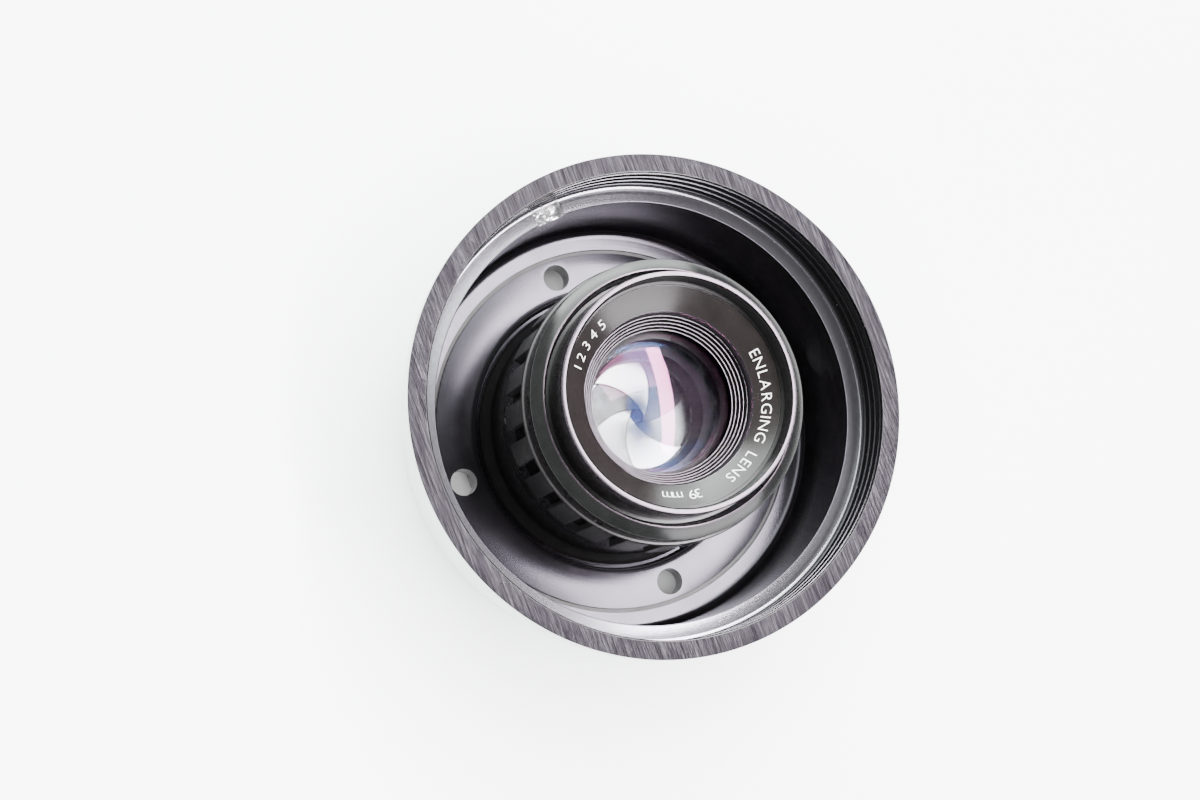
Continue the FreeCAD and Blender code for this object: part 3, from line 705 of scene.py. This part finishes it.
def make_front_cell(mats):
    """Protruding front with a painted highlight on its front edge and a fine filter thread inside."""
    wall, edge, thread, inner = range(4)
    body_r = 16.35
    pitch, depth = 0.5, 0.24
    thread_r, thread_floor = CELL_R - 0.75, CELL_TOP - 3.2
    corners = [
        (CELL_R, CELL_TOP - 0.45, 0.25, edge),
        (CELL_R - 0.12, CELL_TOP, 0.08, edge),
        (thread_r + 0.02, CELL_TOP, 0.06, thread),
        (thread_r, CELL_TOP - 0.25, 0.03, thread),
    ]
    z = CELL_TOP - 0.4
    while z - pitch > thread_floor:
        corners.append((thread_r, z, 0.03, thread))
        corners.append((thread_r - depth, z - pitch / 2, 0.04, thread))
        z -= pitch
    lens_bore, name_bore = GLASS_R + 0.05, NAME_R + 0.05
    corners += [
        (thread_r, z, 0.03, thread),
        (thread_r, thread_floor, 0.05, inner),
        (name_bore, thread_floor, 0.05, inner),
        (name_bore, 35.0, 0.05, inner),
        (lens_bore, 35.0, 0.05, inner),
        (lens_bore, bottom("second_element"), 0.02, inner),
        (8.9, bottom("second_element"), 0.05, inner),
        (8.1, bottom("front_cell"), 0.05, inner),
        (body_r, bottom("front_cell"), 0.05, inner),
        (body_r, BARREL_TOP + 0.05, 0.02, wall),
        (CELL_R, BARREL_TOP + 0.05, 0.08, wall),
    ]
    materials = [mats["bezel"], mats["edge_bright"], mats["thread"], mats["inner"]]
    turned_piece("front_cell_body", corners, materials, "front_cell")


def make_name_ring(mats):
    """Coned lettering ring and the terraced funnel down to the glass."""
    face, terrace, lip = range(3)
    bottom_z = bottom("name_ring")
    bore_r, bore_z = 12.2, NAME_TOP - 2.14
    terrace_top, terraces, first_r = bore_z - 1.46, 5, 11.8
    glass_edge_r, glass_edge_z = 10.25, 34.38
    corners = [
        (GLASS_R, 35.05, 0.02, terrace),
        (NAME_R, 35.05, 0.1, face),
        (NAME_R, NAME_TOP, 0.08, face),
        (bore_r, bore_z, 0.07, lip),
        (bore_r - 0.05, terrace_top, 0.03, terrace),
    ]
    tread = (first_r - glass_edge_r) / (terraces - 1)
    riser = (terrace_top - glass_edge_z) / terraces
    # The last share of each tread before its edge, and the bore's lip, take the pale lip material: painted highlight
    # lines.
    flat_share = 0.13
    for step in range(terraces):
        edge_r, tread_z = first_r - step * tread, terrace_top - step * riser
        corners.append((edge_r + tread * flat_share, tread_z, 0.0, lip))
        corners.append((edge_r, tread_z, 0.02, terrace))
    corners.append((glass_edge_r, glass_edge_z, 0.02, terrace))
    corners.append((GLASS_R, max(glass_edge_z, bottom_z), 0.02, terrace))
    materials = [mats["name"], mats["terrace"], mats["edge_lip"]]
    turned_piece("name_ring_body", corners, materials, "name_ring")


def make_aperture_ring(mats):
    """Aperture ring with straight grip slots and a plain number band."""
    # Lands wear a lighter copy of the ring's black as painted light, slots a darker one as painted shadow.
    band, land, slot_painted_shade, edge = range(4)
    slot_count, slot_width, slot_phase, slot_depth = 24, 2.0, 6.8, 1.2
    lip, chamfer, band_r, bore_r = 0.26, 0.08, 19.0, 17.46
    grip_rear = RING_BOTTOM + 6.75
    floor_r = GRIP_R - slot_depth
    # (radius on a land, radius in a slot, height, material on a land, material in a slot)
    rows = [
        (bore_r, bore_r, RING_BOTTOM, band, band),
        (band_r - 0.1, band_r - 0.1, RING_BOTTOM, band, band),
        (band_r, band_r, RING_BOTTOM + 0.1, band, band),
        (band_r, band_r, grip_rear - 0.4, band, band),
        (GRIP_R - 0.5, floor_r, grip_rear, land, slot_painted_shade),
        # Rows with the edge material carry painted highlight lines along the grip's edges.
        (GRIP_R - 0.06, floor_r, grip_rear + 0.44, edge, slot_painted_shade),
        (GRIP_R, floor_r, grip_rear + 0.55, land, slot_painted_shade),
        (GRIP_R, floor_r, RING_TOP - lip - 0.06, land, slot_painted_shade),
        (GRIP_R, GRIP_R - 0.06, RING_TOP - lip, land, land),
        (GRIP_R, GRIP_R, RING_TOP - 0.2, edge, edge),
        (GRIP_R - 0.15, GRIP_R - 0.15, RING_TOP - 0.02, land, land),
        (GRIP_R - 0.25, GRIP_R - 0.25, RING_TOP, land, land),
        (bore_r, bore_r, RING_TOP, band, band),
    ]
    half = degrees(slot_width / 2 / GRIP_R)
    edge_turn = degrees(chamfer / GRIP_R)
    stations = []
    pitch = 360 / slot_count
    for index in range(slot_count):
        centre = slot_phase + index * pitch
        stations += [(centre - half - edge_turn, 0), (centre - half, 0.05), (centre - half + 0.02, 1)]
        stations += [(centre, 1), (centre + half - 0.02, 1), (centre + half, 0.05)]
        stations += [(centre + half + edge_turn, 0)]
        land_span = pitch - 2 * (half + edge_turn)
        for part in range(1, 6):
            stations.append((centre + half + edge_turn + land_span * part / 6, 0))
    mesh = ring_mesh("aperture_ring_body", rows, stations)
    finish_mesh(mesh, [mats["ring"], mats["land"], mats["slot"], mats["edge_grip"]], 25)
    ring = new_object("aperture_ring_body", mesh, RING)
    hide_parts("aperture_ring")
    screw_way = (SCREW_R + 0.04, bore_r - 1, band_r + 1, DRIVE_SCREW_ANGLE, DRIVE_SCREW_Z)
    head_way = (1.4, 18.1, band_r + 1, DRIVE_SCREW_ANGLE, DRIVE_SCREW_Z)
    cutters = [radial_drill(mats["ring"], *way) for way in (screw_way, head_way)]
    dimple_r, dimple_depth = 0.65, 0.08
    for stop in STOPS:
        turned = BALL_ANGLE - stop_turn(float(stop))
        centre = polar(BALL_RING_R, turned, RING_BOTTOM + dimple_depth - dimple_r)
        cutters.append(ball_cutter(mats["ring"], dimple_r, centre))
    cut_away(ring, cutters)


def ring_mesh(name, rows, stations):
    """Closed ring whose radius may differ at each angle: stations give (angle, share of slot)."""
    mesh_maker = bmesh.new()
    grid = []
    for angle, share in stations:
        column = []
        for land_r, slot_r, z, _, _ in rows:
            r = land_r + (slot_r - land_r) * share
            column.append(mesh_maker.verts.new(polar(r, angle, z) * MM))
        grid.append(column)
    for i in range(len(grid)):
        here, after = grid[i], grid[(i + 1) % len(grid)]
        in_slot = stations[i][1] > 0.5 and stations[(i + 1) % len(grid)][1] > 0.5
        for k in range(len(rows)):
            up = (k + 1) % len(rows)
            face = mesh_maker.faces.new([here[k], after[k], after[up], here[up]])
            face.material_index = rows[k][4] if in_slot else rows[k][3]
    bmesh.ops.recalc_face_normals(mesh_maker, faces=mesh_maker.faces)
    mesh = bpy.data.meshes.new(name)
    mesh_maker.to_mesh(mesh)
    mesh_maker.free()
    return mesh


def make_rear(mats):
    """Rear cell, seen from behind; its retaining ring stays as the CAD node."""
    wall, rib = range(2)
    low = bottom("rear_cell")
    corners = [
        (8.8, top("rear_cell"), 0.1, wall),
        (11.95, top("rear_cell"), 0.1, wall),
        (11.95, 2.7, 0.0, wall),
        (14.0, 2.7, 0.05, wall),
        (14.0, low, 0.3, wall),
        (11.0, low, 0.15, rib),
    ]
    ribs, funnel_top = 9, 8.6
    for index in range(ribs):
        z = low + 0.4 + (funnel_top - low - 0.4) * index / ribs
        r = 10.95 - 0.6 * index / ribs
        corners.append((r, z, 0.02, rib))
        corners.append((r + 0.3, z + 0.35, 0.02, rib))
    corners += [
        (10.3, funnel_top, 0.03, wall),
        (9.75, funnel_top, 0.05, wall),
        (9.75, 17.2, 0.0, wall),
        (8.8, 17.2, 0.0, wall),
    ]
    turned_piece("rear_cell_body", corners, [mats["barrel"], mats["inner"]], "rear_cell")


# ---------------------------------------------------------------- glass

def glass_arc(vertex_z, edge_r, edge_z, steps=18):
    """Profile corners of a lens surface from its vertex to its edge."""
    rise = edge_z - vertex_z
    sphere_r = (edge_r ** 2 + rise ** 2) / (2 * abs(rise))
    sign = 1 if rise > 0 else -1
    corners = []
    for i in range(steps + 1):
        r = edge_r * i / steps
        sag = sphere_r - sqrt(sphere_r ** 2 - r ** 2)
        corners.append((r, vertex_z + sign * sag, 0.0, 0))
    return corners


def make_glasses(mats):
    """The front and second glasses; each keeps the outline of its CAD node."""
    front_bottom = bottom("front_element")
    front = glass_arc(GLASS_TOP, GLASS_R, GLASS_TOP - 2.4)[:-1]
    front += [(GLASS_R, GLASS_TOP - 2.4, 0.0, 1), (GLASS_R, front_bottom, 0.0, 1), (0.0, front_bottom, 0.0, 1)]
    turned_piece("front_glass", front, [mats["glass_front"], mats["glass_inner"]], "front_element", closed=False)
    low, high = bottom("second_element"), top("second_element")
    second = glass_arc(high - 0.77, 9.6, high) + [(GLASS_R, high, 0.0, 0), (GLASS_R, low, 0.0, 0)]
    second += list(reversed(glass_arc(low + 1.57, 8.9, low)))
    second = [(r, z, size, 0 if index < 18 else 1) for index, (r, z, size, _) in enumerate(second)]
    turned_piece("second_glass", second, [mats["glass_second"], mats["glass_inner"]], "second_element", closed=False)


# ---------------------------------------------------------------- iris

# Painted reflection and shade: one lighter or darker copy of the same steel for each leaf.
LEAF_PAINTED_LIGHT_TONES = (0.34, 0.07, 0.010, 0.22, 0.032, 0.16)
LEAF_INNER_R, LEAF_OUTER_R = 8.25, 13.2
LEAF_ROOT, LEAF_TIP = 10.0, -145.0
LEAF_SWING, LEAF_THICKNESS = 30.0, 0.1
LEAF_PIVOT_R = 14.2


def closed_leaf_point(r, angle):
    """Point of an open leaf after it has swung closed about its pivot, pivot on the X axis."""
    pivot = Vector((LEAF_PIVOT_R, 0, 0))
    swing = Matrix.Rotation(radians(-LEAF_SWING), 3, "Z")
    return pivot + swing @ (polar(r, angle) - pivot)


def leaf_height(point):
    """Height of a closed leaf: it falls evenly with the angle round the optical axis.

    All six leaves share this fall, so stacked leaves stay clear of each other as they swing.
    """
    root_z, tip_z = 22.38, 21.42
    first, last = 23.9, -225.3
    angle = degrees(atan2(point.y, point.x))
    if angle > 90:
        angle -= 360
    return root_z + (tip_z - root_z) * (first - angle) / (first - last)


def leaf_mesh(name):
    """Thin crescent leaf in its closed place, with its pivot on the X axis."""
    along, across = 120, 10
    middle_r, half_width = (LEAF_INNER_R + LEAF_OUTER_R) / 2, (LEAF_OUTER_R - LEAF_INNER_R) / 2
    # Width of the inner edge band that carries painted shade, the dark line between stacked leaves.
    painted_shade_edge = 0.11
    cap = degrees(half_width / middle_r)
    root, tip = LEAF_ROOT - cap, LEAF_TIP + cap
    mesh_maker = bmesh.new()
    layers = [[], []]
    for i in range(along + 1):
        angle = LEAF_ROOT + (LEAF_TIP - LEAF_ROOT) * i / along
        overshoot = max(angle - root, tip - angle, 0.0) / cap
        width = half_width * sqrt(max(1 - overshoot ** 2, 0.0004))
        for lift, rows in zip((0.0, -LEAF_THICKNESS), layers):
            row = []
            for k in range(across + 1):
                inward = min(painted_shade_edge, width) if k == 1 else 2 * width * max(k - 1, 0) / (across - 1)
                inward = min(max(inward, painted_shade_edge * (k > 0)), 2 * width)
                point = closed_leaf_point(middle_r - width + inward, angle)
                point.z = leaf_height(point) + lift
                row.append(mesh_maker.verts.new(point * MM))
            rows.append(row)
    skin_layers(mesh_maker, layers, along, across)
    bmesh.ops.recalc_face_normals(mesh_maker, faces=mesh_maker.faces)
    mesh = bpy.data.meshes.new(name)
    mesh_maker.to_mesh(mesh)
    mesh_maker.free()
    return mesh


def make_blades(mats):
    """Six overlapping leaves that fall in a spiral from root to tip."""
    joints = [j for j in frame["joints"] if j["child"].startswith("blade_")]
    for number, joint in enumerate(joints):
        pivot = Vector(joint["pos_m"]) / MM
        azimuth = degrees(atan2(pivot.y, pivot.x))
        mesh = leaf_mesh("iris_" + joint["child"])
        finish_mesh(mesh, [blade_steel(number + 1, LEAF_PAINTED_LIGHT_TONES[number]), mats["leaf_edge_painted_shade"]])
        node = frame["record"]["behaviour"]["bodies"][joint["child"]][0]
        obj = new_object(mesh.name, mesh, joint["child"])
        obj.rotation_euler = (0, 0, radians(azimuth))
        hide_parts(node)
        make_leaf_fittings(joint, azimuth, mats)


def skin_layers(mesh_maker, layers, along, across):
    """Close the gap between the two grids of a thin plate; the inner edge band and the sides get material 1, a
    painted shade line along the leaf's edge.
    """
    for rows in layers:
        for i in range(along):
            for k in range(across):
                face = mesh_maker.faces.new([rows[i][k], rows[i + 1][k], rows[i + 1][k + 1], rows[i][k + 1]])
                face.material_index = 1 if k == 0 else 0
    upper, lower = layers
    for i in range(along):
        for k in (0, across):
            side = mesh_maker.faces.new([upper[i][k], upper[i + 1][k], lower[i + 1][k], lower[i][k]])
            side.material_index = 1
    for k in range(across):
        for i in (0, along):
            mesh_maker.faces.new([upper[i][k], upper[i][k + 1], lower[i][k + 1], lower[i][k]])


def add_capsule(mesh_maker, start, end, r, low, high, steps=16):
    """Add a flat plate with round ends between two points, from one height to another."""
    heading = degrees(atan2(end.y - start.y, end.x - start.x))
    outline = [end + polar(r, heading - 90 + 180 * i / steps) for i in range(steps + 1)]
    outline += [start + polar(r, heading + 90 + 180 * i / steps) for i in range(steps + 1)]
    lower = [mesh_maker.verts.new(Vector((p.x, p.y, low)) * MM) for p in outline]
    upper = [mesh_maker.verts.new(Vector((p.x, p.y, high)) * MM) for p in outline]
    mesh_maker.faces.new(lower)
    mesh_maker.faces.new(upper)
    for i in range(len(outline)):
        after = (i + 1) % len(outline)
        mesh_maker.faces.new([lower[i], lower[after], upper[after], upper[i]])


def make_leaf_fittings(joint, azimuth, mats):
    """Ear, tail and the two pins that hold one leaf, pivot on the X axis before it is turned."""
    pin_r, ear_r, tail_r = 0.35, 1.0, 0.65
    drive_arm, drive_direction, ear_reach = 2.6, 75.0, 1.7
    plate_low, plate_high, pin_foot = 22.24, 22.36, 20.5
    pivot = polar(LEAF_PIVOT_R, 0)
    drive = pivot + polar(drive_arm, drive_direction)
    ear_end = pivot + polar(ear_reach, 180 - LEAF_SWING)
    mesh_maker = bmesh.new()
    add_capsule(mesh_maker, pivot, ear_end, ear_r, plate_low, plate_high)
    add_capsule(mesh_maker, pivot, drive, tail_r, plate_low, plate_high)
    speck = Vector((0.001, 0, 0))
    add_capsule(mesh_maker, pivot, pivot + speck, pin_r, plate_high - 0.02, top("iris_pivot_plate") - 0.1)
    add_capsule(mesh_maker, drive, drive + speck, pin_r, pin_foot, plate_low + 0.02)
    bmesh.ops.recalc_face_normals(mesh_maker, faces=mesh_maker.faces)
    name = "iris_" + joint["child"] + "_fittings"
    mesh = bpy.data.meshes.new(name)
    mesh_maker.to_mesh(mesh)
    mesh_maker.free()
    finish_mesh(mesh, [mats["steel"]])
    fittings = new_object(name, mesh, joint["child"])
    fittings.rotation_euler = (0, 0, radians(azimuth))


# ---------------------------------------------------------------- lettering

def letter_mesh(character, height, lift):
    """Solid mesh of one character, centred on its own width, standing on y = 0."""
    curve = bpy.data.curves.new("letter", "FONT")
    curve.body = character
    curve.size = height * 1.37 * MM
    curve.align_x = "CENTER"
    curve.extrude = lift / 2 * MM
    curve.resolution_u = 6
    curve.offset = -0.022 * height * MM
    source = bpy.data.objects.new("letter", curve)
    bpy.context.scene.collection.objects.link(source)
    bpy.context.view_layer.update()
    depsgraph = bpy.context.evaluated_depsgraph_get()
    mesh = bpy.data.meshes.new_from_object(source.evaluated_get(depsgraph))
    bpy.data.objects.remove(source)
    return mesh


def letter_widths(letters, height):
    """Width of each letter mesh in millimetres; a space is half a letter's height."""
    widths = []
    for letter in letters:
        if letter is None:
            widths.append(height / 2)
            continue
        sides = [vert.co.x for vert in letter.vertices]
        widths.append((max(sides) - min(sides)) / MM)
    return widths


def letter_angles(widths, first, last, r):
    """Angle of each letter's centre when equal gaps fill the arc from first to last."""
    sign = 1 if last > first else -1
    arc = radians(abs(last - first)) * r
    gap = (arc - sum(widths)) / max(len(widths) - 1, 1)
    angles, travelled = [], 0.0 if len(widths) > 1 else (arc - widths[0]) / 2
    for width in widths:
        angles.append(first + sign * degrees((travelled + width / 2) / r))
        travelled += width + gap
    return angles


def ring_lettering(name, text, arc, r, height, place, material, body):
    """Characters set along an arc of (first, last) angles; place maps (angle, point) to a point."""
    letters = [None if character == " " else letter_mesh(character, height, 0.03) for character in text]
    angles = letter_angles(letter_widths(letters, height), *arc, r)
    mesh_maker = bmesh.new()
    for letter, angle in zip(letters, angles):
        if letter is None:
            continue
        count = len(mesh_maker.verts)
        mesh_maker.from_mesh(letter)
        mesh_maker.verts.ensure_lookup_table()
        for vert in mesh_maker.verts[count:]:
            vert.co = place(angle, vert.co / MM) * MM
        bpy.data.meshes.remove(letter)
    bmesh.ops.recalc_face_normals(mesh_maker, faces=mesh_maker.faces)
    mesh = bpy.data.meshes.new(name)
    mesh_maker.to_mesh(mesh)
    mesh_maker.free()
    mesh.materials.append(material)
    return new_object(name, mesh, body)


def make_lettering(mats):
    """White engraved words on the name ring and numbers on the aperture ring."""
    middle_r, height = 13.9, 1.7
    slope = 2.14 / (NAME_R - 12.2)

    def on_cone(angle, point):
        """Letters read clockwise from the front with their tops outward."""
        r = middle_r + (point.y - height / 2) * cos(slope)
        turned = angle - degrees(point.x / middle_r)
        cone_z = NAME_TOP - (NAME_R - r) * slope
        return polar(r, turned, cone_z + point.z + 0.004)

    words = [("12345", (234.5, 203.3)), ("ENLARGING LENS", (99.5, 14.7)), ("39 mm", (356.0, 333.0))]
    for number, (text, arc) in enumerate(words):
        name = f"name_ring_words_{number + 1}"
        ring_lettering(name, text, arc, middle_r, height, on_cone, mats["paint"], FIXED)
    make_stop_numbers(mats)


def ring_travel():
    """Whole turn of the aperture ring in degrees."""
    return max(j["range_deg"][1] for j in frame["joints"] if j["child"] == RING)


def stop_turn(stop):
    """Turn of the aperture ring from closed at which the iris gives a stop, in degrees."""
    widest_hole_r = 7.9
    hole_r = widest_hole_r * float(STOPS[0]) / stop
    closing = 2 * degrees(asin((LEAF_INNER_R - hole_r) / (2 * LEAF_PIVOT_R)))
    return ring_travel() * (1 - closing / LEAF_SWING)


def make_stop_numbers(mats):
    """Stop numbers on the band of the aperture ring and the index mark on the barrel."""
    band_r, band_z, height, tick_z = 19.0, RING_BOTTOM + 3.0, 1.15, RING_BOTTOM + 1.4
    index_angle = 70.0

    def on_band(angle, point):
        """Numbers stand upright with their tops towards the front."""
        turned = angle + degrees(point.x / band_r)
        return polar(band_r + point.z + 0.004, turned, band_z + point.y)

    for text in STOPS:
        centre = index_angle - stop_turn(float(text))
        half = degrees(0.27 * height * len(text) / band_r)
        name = "stop_" + text.replace(".", "_")
        arc = (centre - half, centre + half)
        ring_lettering(name, text, arc, band_r, height, on_band, mats["paint"], RING)
        tick = bar_mesh(name + "_tick", 0.14, polar(18.98, centre, tick_z), polar(19.03, centre, tick_z), 24)
        tick.materials.append(mats["paint"])
        new_object(name + "_tick", tick, RING)
    mark_z = RING_BOTTOM - 1.2
    mark = bar_mesh("index_mark", 0.55, polar(18.95, index_angle, mark_z), polar(19.04, index_angle, mark_z), 48)
    mark.materials.append(mats["paint"])
    new_object("index_mark", mark, FIXED)


# ---------------------------------------------------------------- CAD nodes that stay

def dress_cad_nodes(mats):
    """Give the CAD nodes that stay visible their materials."""
    looks = {
        "grub_screws": "steel",
        "element_spacer": "inner",
        "iris_pivot_plate": "inner",
        "iris_cam_ring": "brass",
        "drive_screw": "steel",
        "doublet_front_element": "glass_rear",
        "doublet_rear_element": "glass_rear",
        "rear_retaining_ring": "barrel",
        "detent_ball": "steel",
        "detent_spring": "steel",
    }
    for node, look in looks.items():
        obj = frame["nodes"][node]
        obj.data.materials.clear()
        obj.data.materials.append(mats[look])


# ---------------------------------------------------------------- stage, light and camera

def make_floor(material):
    """Large plain floor just under the object."""
    side = 3.0
    mesh_maker = bmesh.new()
    bmesh.ops.create_grid(mesh_maker, x_segments=2, y_segments=2, size=side)
    bmesh.ops.translate(mesh_maker, vec=(0, 0, FLOOR_Z * MM - 0.0001), verts=mesh_maker.verts)
    mesh = bpy.data.meshes.new("floor")
    mesh_maker.to_mesh(mesh)
    mesh_maker.free()
    mesh.materials.append(material)
    floor = bpy.data.objects.new("floor", mesh)
    bpy.context.scene.collection.objects.link(floor)


def soft_panel(name, direction, long_axis, distance, length, width, watts, color):
    """Rectangular soft light in a direction from the rim, its long side near an axis."""
    light = bpy.data.lights.new(name, "AREA")
    light.shape = "RECTANGLE"
    light.size, light.size_y = length, width
    light.energy, light.color = watts, color
    back = Vector(direction).normalized()
    along = Vector(long_axis) - back * Vector(long_axis).dot(back)
    along.normalize()
    across = back.cross(along)
    turn = Matrix((along, across, back)).transposed().to_4x4()
    obj = bpy.data.objects.new(name, light)
    obj.matrix_world = Matrix.Translation(Vector((0, 0, RIM_Z * MM)) + back * distance) @ turn
    bpy.context.scene.collection.objects.link(obj)
    return obj


def make_lights():
    """Studio light: a long strip over the lens, soft panels along X, and a pale room."""
    image_up = (-0.935, 0.318, 0.156)
    soft_panel("key_strip", (-0.059, 0.333, 0.942), image_up, 0.7, 0.95, 0.115, 24.0, (1.0, 0.96, 1.0))
    soft_panel("top_panel", (-0.72, 0.06, 0.69), (0, 1, 0), 0.8, 0.6, 1.0, 18.0, (0.93, 1.0, 0.97))
    soft_panel("low_panel_far", (-0.93, 0.25, 0.26), (0, 1, 0), 0.9, 1.0, 0.4, 20.0, (0.90, 1.0, 0.96))
    soft_panel("low_panel_near", (0.84, 0.30, 0.45), (0, 1, 0), 0.9, 0.7, 0.45, 12.0, (0.98, 0.97, 1.0))
    fill = soft_panel("floor_fill", (0.1, -0.2, 0.97), (1, 0, 0), 1.3, 1.6, 1.6, 110.0, (1.0, 1.0, 1.0))
    fill.visible_glossy = False
    world = bpy.data.worlds.new("room")
    world.use_nodes = True
    background = world.node_tree.nodes["Background"]
    background.inputs["Color"].default_value = (0.95, 0.96, 1.0, 1)
    background.inputs["Strength"].default_value = 0.3
    bpy.context.scene.world = world


def make_camera():
    """Camera above the rim, leaning 17.5 degrees from the axis and rolled about its view."""
    azimuth, elevation, roll, distance = -78.7, 72.5, 58.7, 0.321
    aim = Vector((-3.2, -8.2, RIM_Z)) * MM
    flat = cos(radians(elevation))
    back = Vector((flat * cos(radians(azimuth)), flat * sin(radians(azimuth)), sin(radians(elevation))))
    level_right = Vector((0, 0, 1)).cross(back).normalized()
    right = Matrix.Rotation(radians(roll), 3, back) @ level_right
    up = back.cross(right)
    camera = bpy.data.cameras.new("camera")
    camera.lens, camera.sensor_width = 69.0, 36.0
    camera.clip_start = 0.01
    obj = bpy.data.objects.new("camera", camera)
    turn = Matrix((right, up, back)).transposed().to_4x4()
    obj.matrix_world = Matrix.Translation(aim + back * distance) @ turn
    bpy.context.scene.collection.objects.link(obj)
    bpy.context.scene.camera = obj


# ---------------------------------------------------------------- whole scene

def make_materials():
    """All node materials by short name."""
    return {
        "sawn": sawn_aluminium(),
        "cut": cut_aluminium(),
        "gloss": gloss_black(),
        "satin": satin_black(),
        "pale": pale_enamel(),
        # Pale ledge colour: a painted highlight on black-painted metal.
        "ledge": painted_highlight_edge("ledge_painted_highlight", (0.20, 0.195, 0.215), 0.2),
        "barrel": turned_black("barrel_black", (0.0032, 0.0030, 0.0030), 0.30),
        "ring": turned_black("ring_black", (0.0028, 0.0026, 0.0026), 0.28),
        # Lit and shaded copies of the ring's black: painted light on the lands, painted shadow in the slots.
        "land": turned_black("ring_land_painted_light", (0.022, 0.021, 0.022), 0.34),
        "slot": turned_black("ring_slot_painted_shade", (0.0012, 0.0011, 0.0011), 0.4, specular=0.2),
        "cone": turned_black("front_ring_cone", (0.0045, 0.0048, 0.0046), 0.2, cut=0.35, specular=0.4),
        "bezel": turned_black("bezel_black", (0.0030, 0.0027, 0.0029), 0.24, tint=(0.95, 0.88, 1.0)),
        "inner": turned_black("inner_black", (0.0020, 0.0020, 0.0020), 0.4),
        "thread": turned_black("thread_black", (0.0030, 0.0030, 0.0030), 0.24),
        "name": turned_black("name_ring_face", (0.0060, 0.0046, 0.0044), 0.26, cut=0.35),
        "terrace": turned_black("terrace_black", (0.0010, 0.0010, 0.0010), 0.42, cut=0.1, specular=0.06),
        # Bright front edge of the cell: a painted highlight.
        "edge_bright": painted_highlight_edge("edge_bright", (0.060, 0.051, 0.060), 0.17),
        # Pink chamfer line of the front ring: a painted highlight.
        "edge_pink": painted_highlight_edge("edge_pink", (0.10, 0.082, 0.095), 0.22),
        # Pale lines of the name ring's lip and terraces: painted highlights.
        "edge_lip": painted_highlight_edge("edge_lip", (0.17, 0.155, 0.18), 0.22),
        # Pale grip edge lines: painted highlights.
        "edge_grip": painted_highlight_edge("edge_grip", (0.06, 0.055, 0.06), 0.3),
        # Near-black leaf edge: painted shade along the leaves' edges and sides.
        "leaf_edge_painted_shade": plain_metal("leaf_edge_painted_shade", (0.012, 0.010, 0.009), 0.4),
        "steel": plain_metal("screw_steel", (0.42, 0.41, 0.40), 0.32),
        "brass": plain_metal("cam_brass", (0.62, 0.45, 0.20), 0.35),
        "paint": engraving_paint("engraving_white", (0.82, 0.82, 0.80)),
        "glass_front": coated_glass("front_coated_glass", (1.0, 0.34, 0.66), 1.3),
        "glass_second": coated_glass("second_coated_glass", (0.20, 0.36, 1.0), 0.2),
        "glass_inner": coated_glass("bloomed_glass", (0.8, 0.8, 1.0), 0.02),
        "glass_rear": coated_glass("rear_coated_glass", (0.80, 0.85, 1.0), 1.0),
    }


mats = make_materials()
make_cup(mats)
make_barrel(mats)
make_front_ring(mats)
make_front_cell(mats)
make_name_ring(mats)
make_aperture_ring(mats)
make_rear(mats)
make_glasses(mats)
make_blades(mats)
make_lettering(mats)
dress_cad_nodes(mats)
make_floor(floor_paper())
make_lights()
make_camera()
